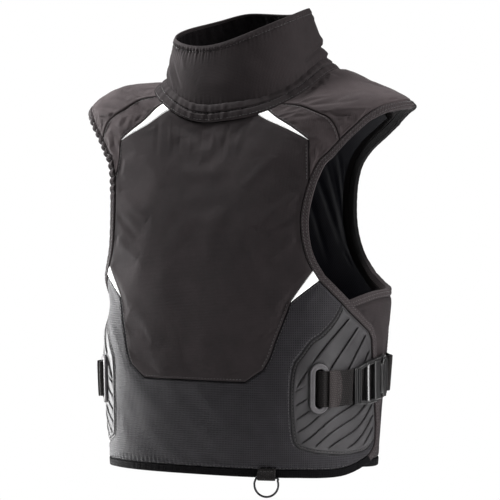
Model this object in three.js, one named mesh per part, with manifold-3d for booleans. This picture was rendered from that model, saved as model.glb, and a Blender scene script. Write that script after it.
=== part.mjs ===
// Padded snow-sports vest with a stand-up collar and a buckled strap at each side.
// Millimetres. The front faces -Y, the wearer's left is +X, +Z is up.
// The soft panels follow one torso surface. A place on it is given as [angle, level]:
// the angle in degrees from the front middle towards the wearer's left, and the level as a row of the rings.
import * as THREE from 'three';
import ManifoldModule from 'manifold-3d';

// Driving dimensions
const SHOULDER_HEIGHT = 540; // from the hem to where the wearer's shoulders carry the vest, the origin
const WALL = 7.5; // padded cloth of the front and the back
const SEAM_GAP = 0.6;
const SEAM_DIP = 2.2; // how far a padded panel sinks at its seams
const BINDING_WIDTH = 11;
const BINDING_THICK = 8.4;
const HEM_LEVEL = 0.1; // top of the hem band
const WING_SINK = 10.5; // how far the back wings lie under the front
const NECK_ROLL = { across: 15, thick: 13 };
const COLLAR_SHELL = 2.4;
const COLLAR_FLEECE = 3;
const LINING = { gap: 4, thick: 1.5, inset: 10 };
const WEBBING = { width: 49, thick: 2.2 };
const RIB = { depth: 2.6, spacing: 26 };

// Torso rings from the hem to the neck. Z is given at the front middle, the sides and the back middle.
const RING_COLUMNS = ['frontZ', 'sideZ', 'backZ', 'halfWidth', 'frontDepth', 'backDepth', 'squareness'];
const TORSO_RINGS = [
  [0, 0, 14, 199, 150, 120, 2.8], // hem
  [120, 120, 128, 206, 155, 130, 2.8], // waist
  [245, 245, 252, 216, 146, 140, 2.7], // foot of the armholes
  [345, 350, 360, 220, 136, 142, 2.6], // chest
  [418, 456, 455, 244, 122, 138, 2.4], // upper chest
  [460, 512, 522, 261, 113, 124, 2.3], // shoulder points
  [483, 545, 562, 204, 108, 102, 2.5], // shoulder slope
  [501, 560, 588, 124, 104, 82, 2.7], // neck
];
const NECK_LEVEL = TORSO_RINGS.length - 1;
const SIDE_SPREAD = 3.2; // how sharply the rings rise towards the sides

// Collar rim, a tilted oval
const RIM = { halfWidth: 104, frontDepth: 84, backDepth: 76, squareness: 2.15, forward: 12 };
const RIM_HEIGHT = { middle: 634, backRise: 26, leftRise: 13.7, sideRise: 5.9 };
const COLLAR_FOOT = { rise: 8.2, tuck: 3.4 }; // from the neck ring up and inwards to the collar's lower edge

// Seams and edges of the wearer's left half, as [angle, level] places
const SHOULDER_TIP = [94, 5.09];
const EDGE_CAP = [
  SHOULDER_TIP, [87.5, 5.05], [82.8, 5.0], [79.5, 4.93], [75, 4.73], [72, 4.49], [68.3, 4.21],
];
const EDGE_YOKE = [[68.3, 4.21], [65.2, 4.01], [62.5, 3.9], [60.5, 3.74], [59.2, 3.62]];
const EDGE_CHEST = [[59.2, 3.62], [56.8, 3.3], [56, 3.05], [56.5, 2.79], [57.7, 2.6], [59.6, 2.45]];
const EDGE_PIPING = [[59.6, 2.45], [61.4, 2.34]];
const EDGE_EAR = [[61.4, 2.34], [66.8, 2.15], [70, 2.05]];
const EDGE_WING_TOP = [[70, 2.05], [73.5, 1.94], [79.2, 1.81], [84.8, 1.7], [88, 1.58]];
const EDGE_WING_REAR = [
  [88, 1.58], [89, 1.44], [90, 1.3], [92, 1.07], [94.2, 0.82], [95.8, 0.57], [96, 0.38],
];
const EDGE_WING_CORNER = [[96, 0.38], [94.2, 0.24], [89, 0.13]];
const EDGE_BACK_CAP = [SHOULDER_TIP, [99.5, 5.08], [106, 4.95], [110, 4.84], [114.5, 4.64], [117, 4.5]];
const EDGE_BACK = [
  [117, 4.5], [123.8, 4.24], [132, 3.99], [137.2, 3.79], [139.8, 3.62], [141.5, 3.38],
  [141.4, 3.05], [139.5, 2.75], [135.8, 2.47], [130, 2.25],
];
const EDGE_BACK_WING_TOP = [[130, 2.25], [122, 2.13], [108, 2.1], [94, 2.1], [82, 2.05], [69.5, 1.97]];
const EDGE_BACK_WING_FRONT = [[69.5, 1.97], [71, 1.5], [77, 0.8], [84, 0.13]];
const UPPER_PIPING_TIP = [57.3, 4.5];
const LOWER_PIPING_TIP = [48.4, 2.0];
const FRONT_CORNER = [29, 1.11];
const EAR_FOOT = [37, 1.25];
const FRONT_SIDE = [EAR_FOOT, [39.8, 1.38], [42.2, 1.56], [45.5, 1.78], LOWER_PIPING_TIP];
const SIDE_PANEL_KNEE = [48.2, 1.2];
const SIDE_PANEL_FOOT = [50.8, 0.37];
const SIDE_PANEL_UPPER = [SIDE_PANEL_KNEE, [49.5, 1.33], [52, 1.42], [55.8, 1.56], [59.8, 1.64], [64.8, 1.8]];
const SIDE_PANEL_LOWER = [SIDE_PANEL_FOOT, [49.2, 0.46], [48.1, 0.7], [47.8, 1.0], SIDE_PANEL_KNEE];
const SIDE_PANEL_BOTTOM = [SIDE_PANEL_FOOT, [53.2, 0.34], [60.5, 0.29], [72.8, 0.26], [86, 0.29]];
const CAP_SEAM = [[66, 4.6], [65, 4.88], [63.5, 5.14], [60, 5.57], [55.5, 6.34]];
const BACK_CAP_SEAM = [[119, 5.1], [122, 5.8]];
const BACK_SIDE_FOOT = [112, 1.1];
const NECK_ANGLES = { piping: [36, 42.5], yokeEnd: 51, capEnd: 128 };

const BLACK_CLOTH = 0x2b2a2b;
const NYLON = 0x343335;
const GREY_RUBBER = 0x4a494b;
const BLACK_PLASTIC = 0x161617;
const BLACK_WEBBING = 0x1d1d1e;
const BLACK_TAPE = 0x232224;

const radians = THREE.MathUtils.degToRad;
const smooth = THREE.MathUtils.smoothstep;

// Torso surface

function ringValue(name, level) {
  const column = RING_COLUMNS.indexOf(name);
  const last = TORSO_RINGS.length - 1;
  const row = Math.min(Math.max(Math.floor(level), 0), last - 1);
  const t = level - row;
  const low = TORSO_RINGS[row][column];
  const high = TORSO_RINGS[row + 1][column];
  const before = row > 0 ? TORSO_RINGS[row - 1][column] : 2 * low - high;
  const after = row + 1 < last ? TORSO_RINGS[row + 2][column] : 2 * high - low;
  const square = (2 * before - 5 * low + 4 * high - after) * t ** 2;
  const cube = (3 * low - before - 3 * high + after) * t ** 3;
  return 0.5 * (2 * low + (high - before) * t + square + cube);
}

function ovalRadius(angle, halfWidth, frontDepth, backDepth, squareness) {
  const across = Math.abs(Math.sin(radians(angle)));
  const along = Math.cos(radians(angle));
  const depth = along > 0 ? frontDepth : backDepth;
  return ((across / halfWidth) ** squareness + (Math.abs(along) / depth) ** squareness) ** (-1 / squareness);
}

function bodyPoint(angle, level) {
  const [frontZ, sideZ, backZ, ...oval] = RING_COLUMNS.map((name) => ringValue(name, level));
  const radius = ovalRadius(angle, ...oval);
  const sine = Math.sin(radians(angle));
  const cosine = Math.cos(radians(angle));
  const middleShare = 1 - Math.abs(sine) ** SIDE_SPREAD;
  const z = sideZ + (cosine > 0 ? frontZ - sideZ : backZ - sideZ) * middleShare;
  return new THREE.Vector3(radius * sine, -radius * cosine, z);
}

function bodySlopes(angle, level) {
  const step = 0.02;
  const around = bodyPoint(angle + 1, level).sub(bodyPoint(angle - 1, level)).multiplyScalar(0.5);
  const up = bodyPoint(angle, level + step).sub(bodyPoint(angle, level - step)).multiplyScalar(0.5 / step);
  return { around, up };
}

function bodyNormal(angle, level) {
  const { around, up } = bodySlopes(angle, level);
  return around.cross(up).normalize();
}

function onBody([angle, level], offset) {
  return bodyPoint(angle, level).addScaledVector(bodyNormal(angle, level), offset);
}

// Seams: a smooth curve through places, cut into equal steps

const PLACE_SCALE = [3.6, 115]; // millimetres for a degree and for a level, near enough to space the steps

function seam(places, steps) {
  const [perDegree, perLevel] = PLACE_SCALE;
  const flat = places.map(([angle, level]) => new THREE.Vector2(angle * perDegree, level * perLevel));
  const curve = flat.length === 2 ? new THREE.LineCurve(...flat) : new THREE.SplineCurve(flat);
  return curve.getSpacedPoints(steps).map((p) => [p.x / perDegree, p.y / perLevel]);
}

const reversed = (places) => [...places].reverse();
const mirrored = (places) => places.map(([angle, level]) => [-angle, level]);
const mirroredBehind = (places) => places.map(([angle, level]) => [360 - angle, level]);
const joined = (...seams) => seams.flatMap((places, i) => (i ? places.slice(1) : places));

// Moves an edge sideways over the surface; a positive distance goes to the left of its direction of travel
function shifted(places, distance) {
  return places.map((place, i) => {
    const before = places[Math.max(i - 1, 0)];
    const after = places[Math.min(i + 1, places.length - 1)];
    const { around, up } = bodySlopes(...place);
    const reach = [around.length(), up.length()];
    const travel = [0, 1].map((axis) => (after[axis] - before[axis]) * reach[axis]);
    const along = new THREE.Vector2(...travel).normalize();
    return [place[0] - (along.y * distance) / reach[0], place[1] + (along.x * distance) / reach[1]];
  });
}

// Solids

// A closed solid, its faces turned outward
function solid(points, faces) {
  const volume = faces.reduce((sum, [a, b, c]) => sum + points[a].dot(points[b].clone().cross(points[c])), 0);
  const turned = volume > 0 ? faces : faces.map(([a, b, c]) => [a, c, b]);
  const geometry = new THREE.BufferGeometry();
  const numbers = points.flatMap((p) => [p.x, p.y, p.z]);
  geometry.setAttribute('position', new THREE.Float32BufferAttribute(numbers, 3));
  geometry.setIndex(turned.flat());
  geometry.computeVertexNormals();
  return geometry;
}

// Coons patch: fills the field between four seams with a grid of places
function patch(bottom, top, left, right) {
  const columns = bottom.length - 1;
  const rows = left.length - 1;
  return left.map((_, row) => bottom.map((__, column) => [0, 1].map((axis) => {
    const u = column / columns;
    const v = row / rows;
    const ruled = (1 - v) * bottom[column][axis] + v * top[column][axis]
      + (1 - u) * left[row][axis] + u * right[row][axis];
    const corners = (1 - v) * ((1 - u) * bottom[0][axis] + u * bottom[columns][axis])
      + v * ((1 - u) * top[0][axis] + u * top[columns][axis]);
    return ruled - corners;
  })));
}

// A padded sheet over one or more patches that share edges, with walls round its outline
function sheet(patches, { outer, inner, inset = SEAM_GAP / 2 }) {
  const places = [];
  const known = new Map();
  const placeIndex = (place) => {
    const key = `${place[0].toFixed(3)} ${place[1].toFixed(4)}`;
    if (!known.has(key)) known.set(key, places.push(place) - 1);
    return known.get(key);
  };
  const faces = [];
  for (const grid of patches) {
    for (let row = 0; row + 1 < grid.length; row += 1) {
      for (let column = 0; column + 1 < grid[row].length; column += 1) {
        const a = placeIndex(grid[row][column]);
        const b = placeIndex(grid[row][column + 1]);
        const c = placeIndex(grid[row + 1][column + 1]);
        const d = placeIndex(grid[row + 1][column]);
        faces.push([a, b, c], [a, c, d]);
      }
    }
  }
  const whole = faces.filter(([a, b, c]) => a !== b && b !== c && c !== a);
  const sides = whole.flatMap(([a, b, c]) => [[a, b], [b, c], [c, a]]);
  const used = new Set(sides.map(([a, b]) => `${a} ${b}`));
  const rim = sides.filter(([a, b]) => !used.has(`${b} ${a}`));

  const pull = new Map();
  for (const [a, b] of rim) {
    const edge = bodyPoint(...places[b]).sub(bodyPoint(...places[a])).normalize();
    for (const end of [a, b]) {
      const inward = bodyNormal(...places[end]).cross(edge).normalize();
      pull.set(end, [...(pull.get(end) ?? []), inward]);
    }
  }
  const face = (offset) => places.map((place, i) => {
    const point = onBody(place, offset(place, pull.has(i)));
    if (!pull.has(i)) return point;
    const [first, second] = pull.get(i);
    const middle = first.clone().add(second).normalize();
    const reach = Math.min(3, 1 / Math.max(middle.dot(first), 0.2));
    return point.addScaledVector(middle, inset * reach);
  });
  const count = places.length;
  const back = whole.map(([a, b, c]) => [a + count, c + count, b + count]);
  const walls = rim.flatMap(([a, b]) => [[b, a, a + count], [b, a + count, b + count]]);
  return solid([...face(outer), ...face(inner)], [...whole, ...back, ...walls]);
}

// Skins a row of sections; a closed row joins its last section to its first, an open one is capped
function loft(sections, closed = false) {
  const size = sections[0].length;
  const points = sections.flat();
  const faces = [];
  const spans = closed ? sections.length : sections.length - 1;
  for (let s = 0; s < spans; s += 1) {
    const here = s * size;
    const next = ((s + 1) % sections.length) * size;
    for (let k = 0; k < size; k += 1) {
      const after = (k + 1) % size;
      faces.push([here + k, here + after, next + after], [here + k, next + after, next + k]);
    }
  }
  if (!closed) {
    const end = (sections.length - 1) * size;
    for (let k = 1; k + 1 < size; k += 1) {
      faces.push([0, k + 1, k], [end, end + k, end + k + 1]);
    }
  }
  return solid(points, faces);
}

// Cross-section with cut corners, as [across, out] pairs counter-clockwise
function barSection(width, thick, cut) {
  const w = width / 2;
  const t = thick / 2;
  return [[-w, -t + cut], [-w + cut, -t], [w - cut, -t], [w, -t + cut],
    [w, t - cut], [w - cut, t], [-w + cut, t], [-w, t - cut]];
}

const padded = (place, onEdge) => (onEdge ? -SEAM_DIP : 0);
const inside = () => -WALL;

// Edges shared by the panels and the binding

const EDGE_STEPS = [
  [EDGE_CAP, 7], [EDGE_YOKE, 4], [EDGE_CHEST, 6], [EDGE_PIPING, 1], [EDGE_EAR, 3],
  [EDGE_WING_TOP, 5], [EDGE_WING_REAR, 10], [EDGE_WING_CORNER, 2],
];
const frontEdge = joined(...EDGE_STEPS.map(([places, steps]) => seam(places, steps)));
const BACK_EDGE_STEPS = [
  [EDGE_BACK_CAP, 5], [EDGE_BACK, 10], [EDGE_BACK_WING_TOP, 6], [EDGE_BACK_WING_FRONT, 7],
];
const backEdge = joined(...BACK_EDGE_STEPS.map(([places, steps]) => seam(places, steps)));
const wholeEdge = joined(reversed(frontEdge), backEdge);
const panelEdge = shifted(wholeEdge, BINDING_WIDTH);
const frontPanelEdge = reversed(panelEdge.slice(0, frontEdge.length));
const backPanelEdge = panelEdge.slice(frontEdge.length - 1);

function cutEdge(edge, stepList) {
  let start = 0;
  return stepList.map(([, steps]) => {
    const piece = edge.slice(start, start + steps + 1);
    start += steps;
    return piece;
  });
}

const [capEdge, yokeEdge, chestEdge, pipingEdge, earEdge, wingTop, wingRear, wingCorner] = cutEdge(
  frontPanelEdge, EDGE_STEPS);
const [backCapEdge, backSideEdge, backWingTop, backWingFront] = cutEdge(backPanelEdge, BACK_EDGE_STEPS);

function neckEdge(from, to, steps) {
  const places = [...Array(steps + 1).keys()].map((i) => [from + ((to - from) * i) / steps, NECK_LEVEL]);
  return shifted(places, -NECK_ROLL.across / 2 - 1.6);
}

const [pipingInner, pipingOuter] = NECK_ANGLES.piping;
const neckFront = neckEdge(-pipingInner, pipingInner, 12);
const neckPiping = neckEdge(pipingInner, pipingOuter, 1);
const neckYoke = neckEdge(pipingOuter, NECK_ANGLES.yokeEnd, 4);
const neckCap = neckEdge(NECK_ANGLES.yokeEnd, NECK_ANGLES.capEnd, 12);
const neckBack = neckEdge(NECK_ANGLES.capEnd, 360 - NECK_ANGLES.capEnd, 12);

const upperPipingInner = seam([UPPER_PIPING_TIP, neckPiping[0]], 4);
const upperPipingOuter = seam([UPPER_PIPING_TIP, neckPiping[1]], 4);
const yokeSeam = seam([yokeEdge.at(-1), UPPER_PIPING_TIP], 3);
const capSeam = seam([capEdge.at(-1), ...CAP_SEAM, neckYoke.at(-1)], 7);
const backCapSeam = seam([backCapEdge.at(-1), ...BACK_CAP_SEAM, neckBack[0]], 7);
const lowerPipingUpper = seam([LOWER_PIPING_TIP, pipingEdge[0]], 2);
const lowerPipingLower = seam([LOWER_PIPING_TIP, pipingEdge[1]], 2);
const frontCornerSeam = seam([FRONT_CORNER, EAR_FOOT], 1);
const frontSideSeam = seam(FRONT_SIDE, 4);
const frontBottom = seam([mirrored([FRONT_CORNER])[0], FRONT_CORNER], 12);
const sidePanelUpper = seam([...SIDE_PANEL_UPPER, wingTop[0]], 6);
const sidePanelLower = seam(SIDE_PANEL_LOWER, 4);
const sidePanelBottom = seam([...SIDE_PANEL_BOTTOM, wingRear.at(-1)], 5);
const earFoot = seam([EAR_FOOT, SIDE_PANEL_KNEE], 3);
const backSideSeam = seam([BACK_SIDE_FOOT, [116, 1.7], backWingTop[0]], 4);
const backBottom = seam([BACK_SIDE_FOOT, [360 - BACK_SIDE_FOOT[0], BACK_SIDE_FOOT[1]]], 12);

// Front

const frontSide = joined(frontCornerSeam, frontSideSeam, lowerPipingUpper, reversed(chestEdge), yokeSeam,
  upperPipingInner);
const frontPanel = sheet([patch(frontBottom, neckFront, mirrored(frontSide), frontSide)],
  { outer: padded, inner: inside });

const tongueStart = [SIDE_PANEL_FOOT[0], HEM_LEVEL];
const tongueEnd = wingCorner.at(-1);
const tongueRise = seam([tongueStart, SIDE_PANEL_FOOT], 2);
const tongue = patch(seam([tongueStart, [70, HEM_LEVEL], tongueEnd], 5), sidePanelBottom,
  tongueRise, reversed(wingCorner));
const ear = patch(earFoot, earEdge, joined(frontSideSeam, lowerPipingLower), sidePanelUpper);
const waistSide = joined(tongueRise, sidePanelLower);
const halfTop = joined(frontCornerSeam, earFoot);
const waistTop = joined(reversed(mirrored(halfTop)), frontBottom, halfTop);
const waistBottom = seam([mirrored([tongueStart])[0], tongueStart], waistTop.length - 1);
const waist = patch(waistBottom, waistTop, mirrored(waistSide), waistSide);
const flip = (grid) => grid.map((row) => reversed(mirrored(row)));
const frontLowerPanel = sheet([waist, ear, tongue, flip(ear), flip(tongue)],
  { outer: padded, inner: inside });

const yoke = sheet([patch(reversed(yokeEdge), neckYoke, joined(yokeSeam, upperPipingOuter), capSeam)],
  { outer: padded, inner: inside });
const capBottom = joined(reversed(capEdge), backCapEdge);
const shoulderCap = sheet([patch(capBottom, neckCap, capSeam, backCapSeam)],
  { outer: padded, inner: inside });

const pipingFace = () => 0.6;
const upperPiping = sheet(
  [patch(upperPipingInner, upperPipingOuter, [UPPER_PIPING_TIP, UPPER_PIPING_TIP], neckPiping).map(reversed)],
  { outer: pipingFace, inner: inside, inset: 0.9 });
const lowerPiping = sheet(
  [patch(lowerPipingLower, lowerPipingUpper, [LOWER_PIPING_TIP, LOWER_PIPING_TIP], reversed(pipingEdge))],
  { outer: pipingFace, inner: inside, inset: 0.9 });

// Moulded side panel: slanting ribs, and a slot that the strap comes out of

function ribbed([angle, level], onEdge) {
  if (onEdge) return -SEAM_DIP;
  const slant = angle * PLACE_SCALE[0] * 0.5 - level * PLACE_SCALE[1] * 0.86;
  return -RIB.depth * Math.max(0, Math.cos((2 * Math.PI * slant) / RIB.spacing)) ** 2;
}

const sidePanelSheet = sheet(
  [patch(sidePanelBottom, wingTop, joined(sidePanelLower, sidePanelUpper), reversed(wingRear))],
  { outer: ribbed, inner: inside });

const { Manifold, Mesh: ManifoldMesh } = await loadManifold();

async function loadManifold() {
  const module = await ManifoldModule();
  module.setup();
  return module;
}

function cut(body, tool) {
  const [whole, hole] = [body, tool].map((geometry) => new Manifold(new ManifoldMesh({
    numProp: 3,
    vertProperties: geometry.getAttribute('position').array,
    triVerts: new Uint32Array(geometry.getIndex().array),
  })));
  const mesh = whole.subtract(hole).getMesh();
  const geometry = new THREE.BufferGeometry();
  geometry.setAttribute('position', new THREE.Float32BufferAttribute(mesh.vertProperties, 3));
  geometry.setIndex([...mesh.triVerts]);
  return geometry;
}

// Straps lie on the torso: along is millimetres round it from the front, across is up from the strap's middle

const MM_PER_DEGREE = 3.6;
const STRAP = { height: 127, rise: 8, riseFrom: 66, riseTo: 100, sink: 9, sinkAngles: [94.5, 107, 110, 128] };
const MM_PER_LEVEL = 122;

function strapPoint(along, across, out) {
  const angle = along / MM_PER_DEGREE;
  const [start, full, leave, end] = STRAP.sinkAngles;
  const sink = STRAP.sink * smooth(angle, start, full) * (1 - smooth(angle, leave, end));
  const height = STRAP.height + STRAP.rise * smooth(angle, STRAP.riseFrom, STRAP.riseTo) + across;
  return onBody([angle, height / MM_PER_LEVEL], out - sink);
}

// Webbing along a path of [angle, out] places
function ribbon(path, width, thick, steps) {
  const places = path.map(([angle, out]) => new THREE.Vector2(angle * MM_PER_DEGREE, out));
  const curve = new THREE.SplineCurve(places);
  const corners = [[-1, -1], [1, -1], [1, 1], [-1, 1]];
  const sections = [...Array(steps + 1).keys()].map((i) => {
    const middle = curve.getPointAt(i / steps);
    const along = curve.getTangentAt(i / steps);
    return corners.map(([side, face]) => {
      const reach = (face * thick) / 2;
      return strapPoint(middle.x - along.y * reach, (side * width) / 2, middle.y + along.x * reach);
    });
  });
  return loft(sections);
}

// A flat outline with holes, given thickness and bent round the torso
function strapPlate(outline, holes, outFrom, outTo) {
  const shape = new THREE.Shape(outline.map(([along, across]) => new THREE.Vector2(along, across)));
  shape.holes = holes.map((hole) => new THREE.Path(hole.map(([x, y]) => new THREE.Vector2(x, y))));
  const geometry = new THREE.ExtrudeGeometry(shape, { depth: outTo - outFrom, bevelEnabled: false });
  const position = geometry.getAttribute('position');
  for (let i = 0; i < position.count; i += 1) {
    const point = strapPoint(position.getX(i), position.getY(i), outFrom + position.getZ(i));
    position.setXYZ(i, point.x, point.y, point.z);
  }
  geometry.computeVertexNormals();
  return geometry;
}

// Rectangle with slightly crowned long edges cut into short steps, so that it can bend
function bendable(from, to, low, high, steps, crown = 0.8) {
  const shares = [...Array(steps + 1).keys()].map((i) => i / steps);
  const edge = (side, sign) => shares.map((u) => (
    [from + (to - from) * u, side + sign * crown * 4 * u * (1 - u)]));
  return [...edge(low, -1), ...reversed(edge(high, 1))];
}

function stadium(middle, width, height, steps) {
  const radius = width / 2;
  const straight = height / 2 - radius;
  const halfTurn = (from, y) => [...Array(steps + 1).keys()].map((i) => {
    const turn = radians(from + (180 * i) / steps);
    return [middle + radius * Math.cos(turn), y + radius * Math.sin(turn)];
  });
  return [...halfTurn(0, straight), ...halfTurn(180, -straight)];
}

const SLOT = { angle: 58.8, width: 26, height: 68, holeWidth: 12, holeHeight: 53, thick: 4.4, standOff: 0.5 };
const slotMiddle = SLOT.angle * MM_PER_DEGREE;
const slotHole = stadium(slotMiddle, SLOT.holeWidth, SLOT.holeHeight, 6);
const slotCutter = loft([-WALL - 4, 4].map((out) => slotHole.map(([along, across]) => (
  strapPoint(along, across, out)))));
const sidePanel = cut(sidePanelSheet, slotCutter);
const slotFrame = strapPlate(stadium(slotMiddle, SLOT.width, SLOT.height, 8), [slotHole],
  SLOT.standOff, SLOT.standOff + SLOT.thick);

const FRONT_STRAP_PATH = [
  [58.3, -6], [58.5, -1], [59.2, 4.4], [60.6, 7.4], [62.4, 7.2], [64, 4.6], [66, 3.4], [70, 3.4], [72.2, 5.6],
  [73.5, 9.6], [75, 12.6], [77, 13.4], [79.2, 13.4], [81.4, 12.8], [82.8, 9.4], [83.1, 5],
];
const frontStrap = ribbon(FRONT_STRAP_PATH, WEBBING.width, WEBBING.thick, 22);

const KEEPER = { from: 65, to: 69.6, width: 53.4, thick: 1.2, room: 0.5, strapOut: 3.4 };
const keeperSection = (grow) => {
  const half = KEEPER.width / 2 - KEEPER.thick + grow;
  const rise = WEBBING.thick / 2 + KEEPER.room + grow;
  return [[-half, -rise], [half, -rise], [half, rise], [-half, rise]];
};
const keeperEnds = [KEEPER.from, (KEEPER.from + KEEPER.to) / 2, KEEPER.to];
const keeperRing = (angle, grow) => keeperSection(grow).map(([across, out]) => (
  strapPoint(angle * MM_PER_DEGREE, across, KEEPER.strapOut + out)));
const keeperOutside = keeperEnds.map((angle) => keeperRing(angle, KEEPER.thick));
const keeperInside = keeperEnds.map((angle) => keeperRing(angle, 0));
const strapKeeper = loft([...keeperOutside, ...reversed(keeperInside)], true);

const BUCKLE = { from: 75, joint: 91.6, to: 105, height: 61, low: 2, high: 11.6, gap: 0.6 };
const [maleFrom, maleTo] = [BUCKLE.from, BUCKLE.joint].map((angle) => angle * MM_PER_DEGREE);
const femaleTo = BUCKLE.to * MM_PER_DEGREE;
const maleSlots = [[81.4, 84.6, 25.6], [86.6, 88.6, 23.4]].map(([from, to, half]) => (
  reversed(bendable(from * MM_PER_DEGREE, to * MM_PER_DEGREE, -half, half, 1))));
const PRONG = { reach: 20, width: 7 };
const prongOuter = BUCKLE.height / 2;
const prongInner = prongOuter - PRONG.width;
const maleOutline = [
  ...bendable(maleFrom, maleTo, -prongOuter, prongOuter, 5).slice(0, 6),
  [maleTo + PRONG.reach, -prongOuter + 2], [maleTo + PRONG.reach, -prongInner], [maleTo, -prongInner],
  [maleTo, prongInner], [maleTo + PRONG.reach, prongInner], [maleTo + PRONG.reach, prongOuter - 2],
  ...bendable(maleFrom, maleTo, -prongOuter, prongOuter, 5).slice(6),
];
const buckleMale = strapPlate(maleOutline, maleSlots, BUCKLE.low, BUCKLE.high - 1.4);
const neckHalf = prongInner - BUCKLE.gap;
const shoulderAt = maleTo + PRONG.reach + BUCKLE.gap;
const femaleHalf = [
  [maleTo + BUCKLE.gap, neckHalf], [maleTo + PRONG.reach / 2, neckHalf - 0.6], [shoulderAt, neckHalf],
  [shoulderAt, prongOuter], [shoulderAt + 10, prongOuter], [femaleTo, prongOuter - 6],
];
const femaleOutline = [
  ...femaleHalf.map(([along, across]) => [along, -across]), ...reversed(femaleHalf),
];
const femaleSlot = reversed(bendable(femaleTo - 10, femaleTo - 5.4, -25.6, 25.6, 1));
const buckleFemale = strapPlate(femaleOutline, [femaleSlot], BUCKLE.low - 0.4, BUCKLE.high);

const BACK_STRAP_PATH = [
  [102.7, 8], [102.9, 12], [103.8, 14.4], [105.6, 13.6], [108, 9], [112, 5.6], [118, 4.2], [124, 3],
  [130, 2.2],
];
const backStrap = ribbon(BACK_STRAP_PATH, WEBBING.width, WEBBING.thick, 18);

// Back

const wingSink = ([angle, level]) => {
  const fromBackMiddle = Math.abs(angle - 180);
  return level > 2.6 ? 0 : -WING_SINK * smooth(fromBackMiddle, 52, 76);
};
const backOuter = (place, onEdge) => padded(place, onEdge) + wingSink(place);
const backInner = (place) => wingSink(place) - WALL;
const backSide = joined(backSideSeam, reversed(backSideEdge), backCapSeam);
const backPatch = patch(backBottom, neckBack, backSide, mirroredBehind(backSide));
const backPanel = sheet([backPatch], { outer: backOuter, inner: backInner });
const everyThird = (rows) => rows.filter((_, i) => i % 3 === 0);
const backLining = sheet([everyThird(backPatch).map(everyThird)], {
  outer: (place) => backInner(place) - LINING.gap,
  inner: (place) => backInner(place) - LINING.gap - LINING.thick,
  inset: LINING.inset,
});
const backHemFoot = [BACK_SIDE_FOOT[0], HEM_LEVEL];
const backSideLow = seam([backHemFoot, BACK_SIDE_FOOT], 3);
const backLowerBottom = seam([backHemFoot, mirroredBehind([backHemFoot])[0]], 12);
const backLowerPanel = sheet(
  [patch(backLowerBottom, backBottom, backSideLow, mirroredBehind(backSideLow))],
  { outer: backOuter, inner: backInner });
const backWingBottom = seam([backWingFront.at(-1), backHemFoot], 6);
const backWing = sheet(
  [patch(backWingBottom, reversed(backWingTop), reversed(backWingFront), joined(backSideLow, backSideSeam))],
  { outer: backOuter, inner: backInner });

// Bindings: a stitched band that closes the raw edges, its section given as [from the edge, out] pairs

function bandSections(edge, side, sinkOf) {
  const width = BINDING_WIDTH - SEAM_GAP;
  const round = 2.2;
  const top = 0.5;
  const section = [
    [0, top - BINDING_THICK], [width, top - BINDING_THICK], [width, top - round], [width - round, top],
    [round, top], [0, top - round],
  ];
  const rails = section.map(([distance, out]) => shifted(edge, side * distance).map((place, i) => (
    onBody(place, out + sinkOf(place, i)))));
  return edge.map((_, i) => rails.map((rail) => rail[i]));
}

const band = (edge, side, sinkOf) => loft(bandSections(edge, side, sinkOf));

// The edge is bound in three lengths of tape: round the armhole, and down each edge of the side opening
const TAPE_END = 0.01; // share of a step that each length is short of the next
const backStart = frontEdge.length - 1;
const edgeSections = bandSections(wholeEdge, 1, (place, i) => (i > backStart ? wingSink(place) : 0));
const towards = (from, to) => from.map((point, k) => point.clone().lerp(to[k], TAPE_END));

function tape(from, to) {
  const cut = edgeSections.slice(from, to + 1);
  return loft([towards(cut[0], cut[1]), ...cut.slice(1, -1), towards(cut.at(-1), cut.at(-2))]);
}

const stepsIn = (pieces) => pieces.reduce((sum, [, steps]) => sum + steps, 0);
const armholeFrom = backStart - stepsIn(EDGE_STEPS.slice(0, 5));
const armholeTo = backStart + stepsIn(BACK_EDGE_STEPS.slice(0, 2));
const frontSideBinding = tape(0, armholeFrom);
const armholeBinding = tape(armholeFrom, armholeTo);
const backSideBinding = tape(armholeTo, wholeEdge.length - 1);
const between = (from, to, share) => from.map((value, axis) => value + (to[axis] - value) * share);
const trimmed = (places) => [
  between(places[0], places[1], 0.15), ...places.slice(1, -1), between(places.at(-1), places.at(-2), 0.15),
];
const hemEdge = (top) => trimmed(shifted(top, -SEAM_GAP));
const hemFrontTop = joined(reversed(mirrored(tongue[0])), waistBottom, tongue[0]);
const hemBindingFront = band(hemEdge(hemFrontTop), -1, () => 0);
const hemBackTop = joined(backWingBottom, backLowerBottom, reversed(mirroredBehind(backWingBottom)));
const hemBindingBack = band(hemEdge(hemBackTop), -1, wingSink);

// Collar

const RIM_STEPS = 36;
const collarAngles = [...Array(RIM_STEPS).keys()].map((i) => (360 * i) / RIM_STEPS);

function collarPoint(angle, share, offset) {
  const sine = Math.sin(radians(angle));
  const cosine = Math.cos(radians(angle));
  const outward = new THREE.Vector3(sine, -cosine, 0);
  const foot = bodyPoint(angle, NECK_LEVEL).addScaledVector(outward, -COLLAR_FOOT.tuck);
  foot.z += COLLAR_FOOT.rise;
  const radius = ovalRadius(angle, RIM.halfWidth, RIM.frontDepth, RIM.backDepth, RIM.squareness);
  const height = RIM_HEIGHT.middle - RIM_HEIGHT.backRise * cosine + RIM_HEIGHT.leftRise * sine
    - RIM_HEIGHT.sideRise * Math.cos(2 * radians(angle));
  const rim = new THREE.Vector3(radius * sine, -RIM.forward - radius * cosine, height);
  return foot.lerp(rim, share).addScaledVector(outward, offset);
}

function collarLayer(shares, outer, inner) {
  return loft(collarAngles.map((angle) => [
    ...shares.map((share) => collarPoint(angle, share, outer)),
    ...reversed(shares).map((share) => collarPoint(angle, share, inner)),
  ]), true);
}

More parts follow.
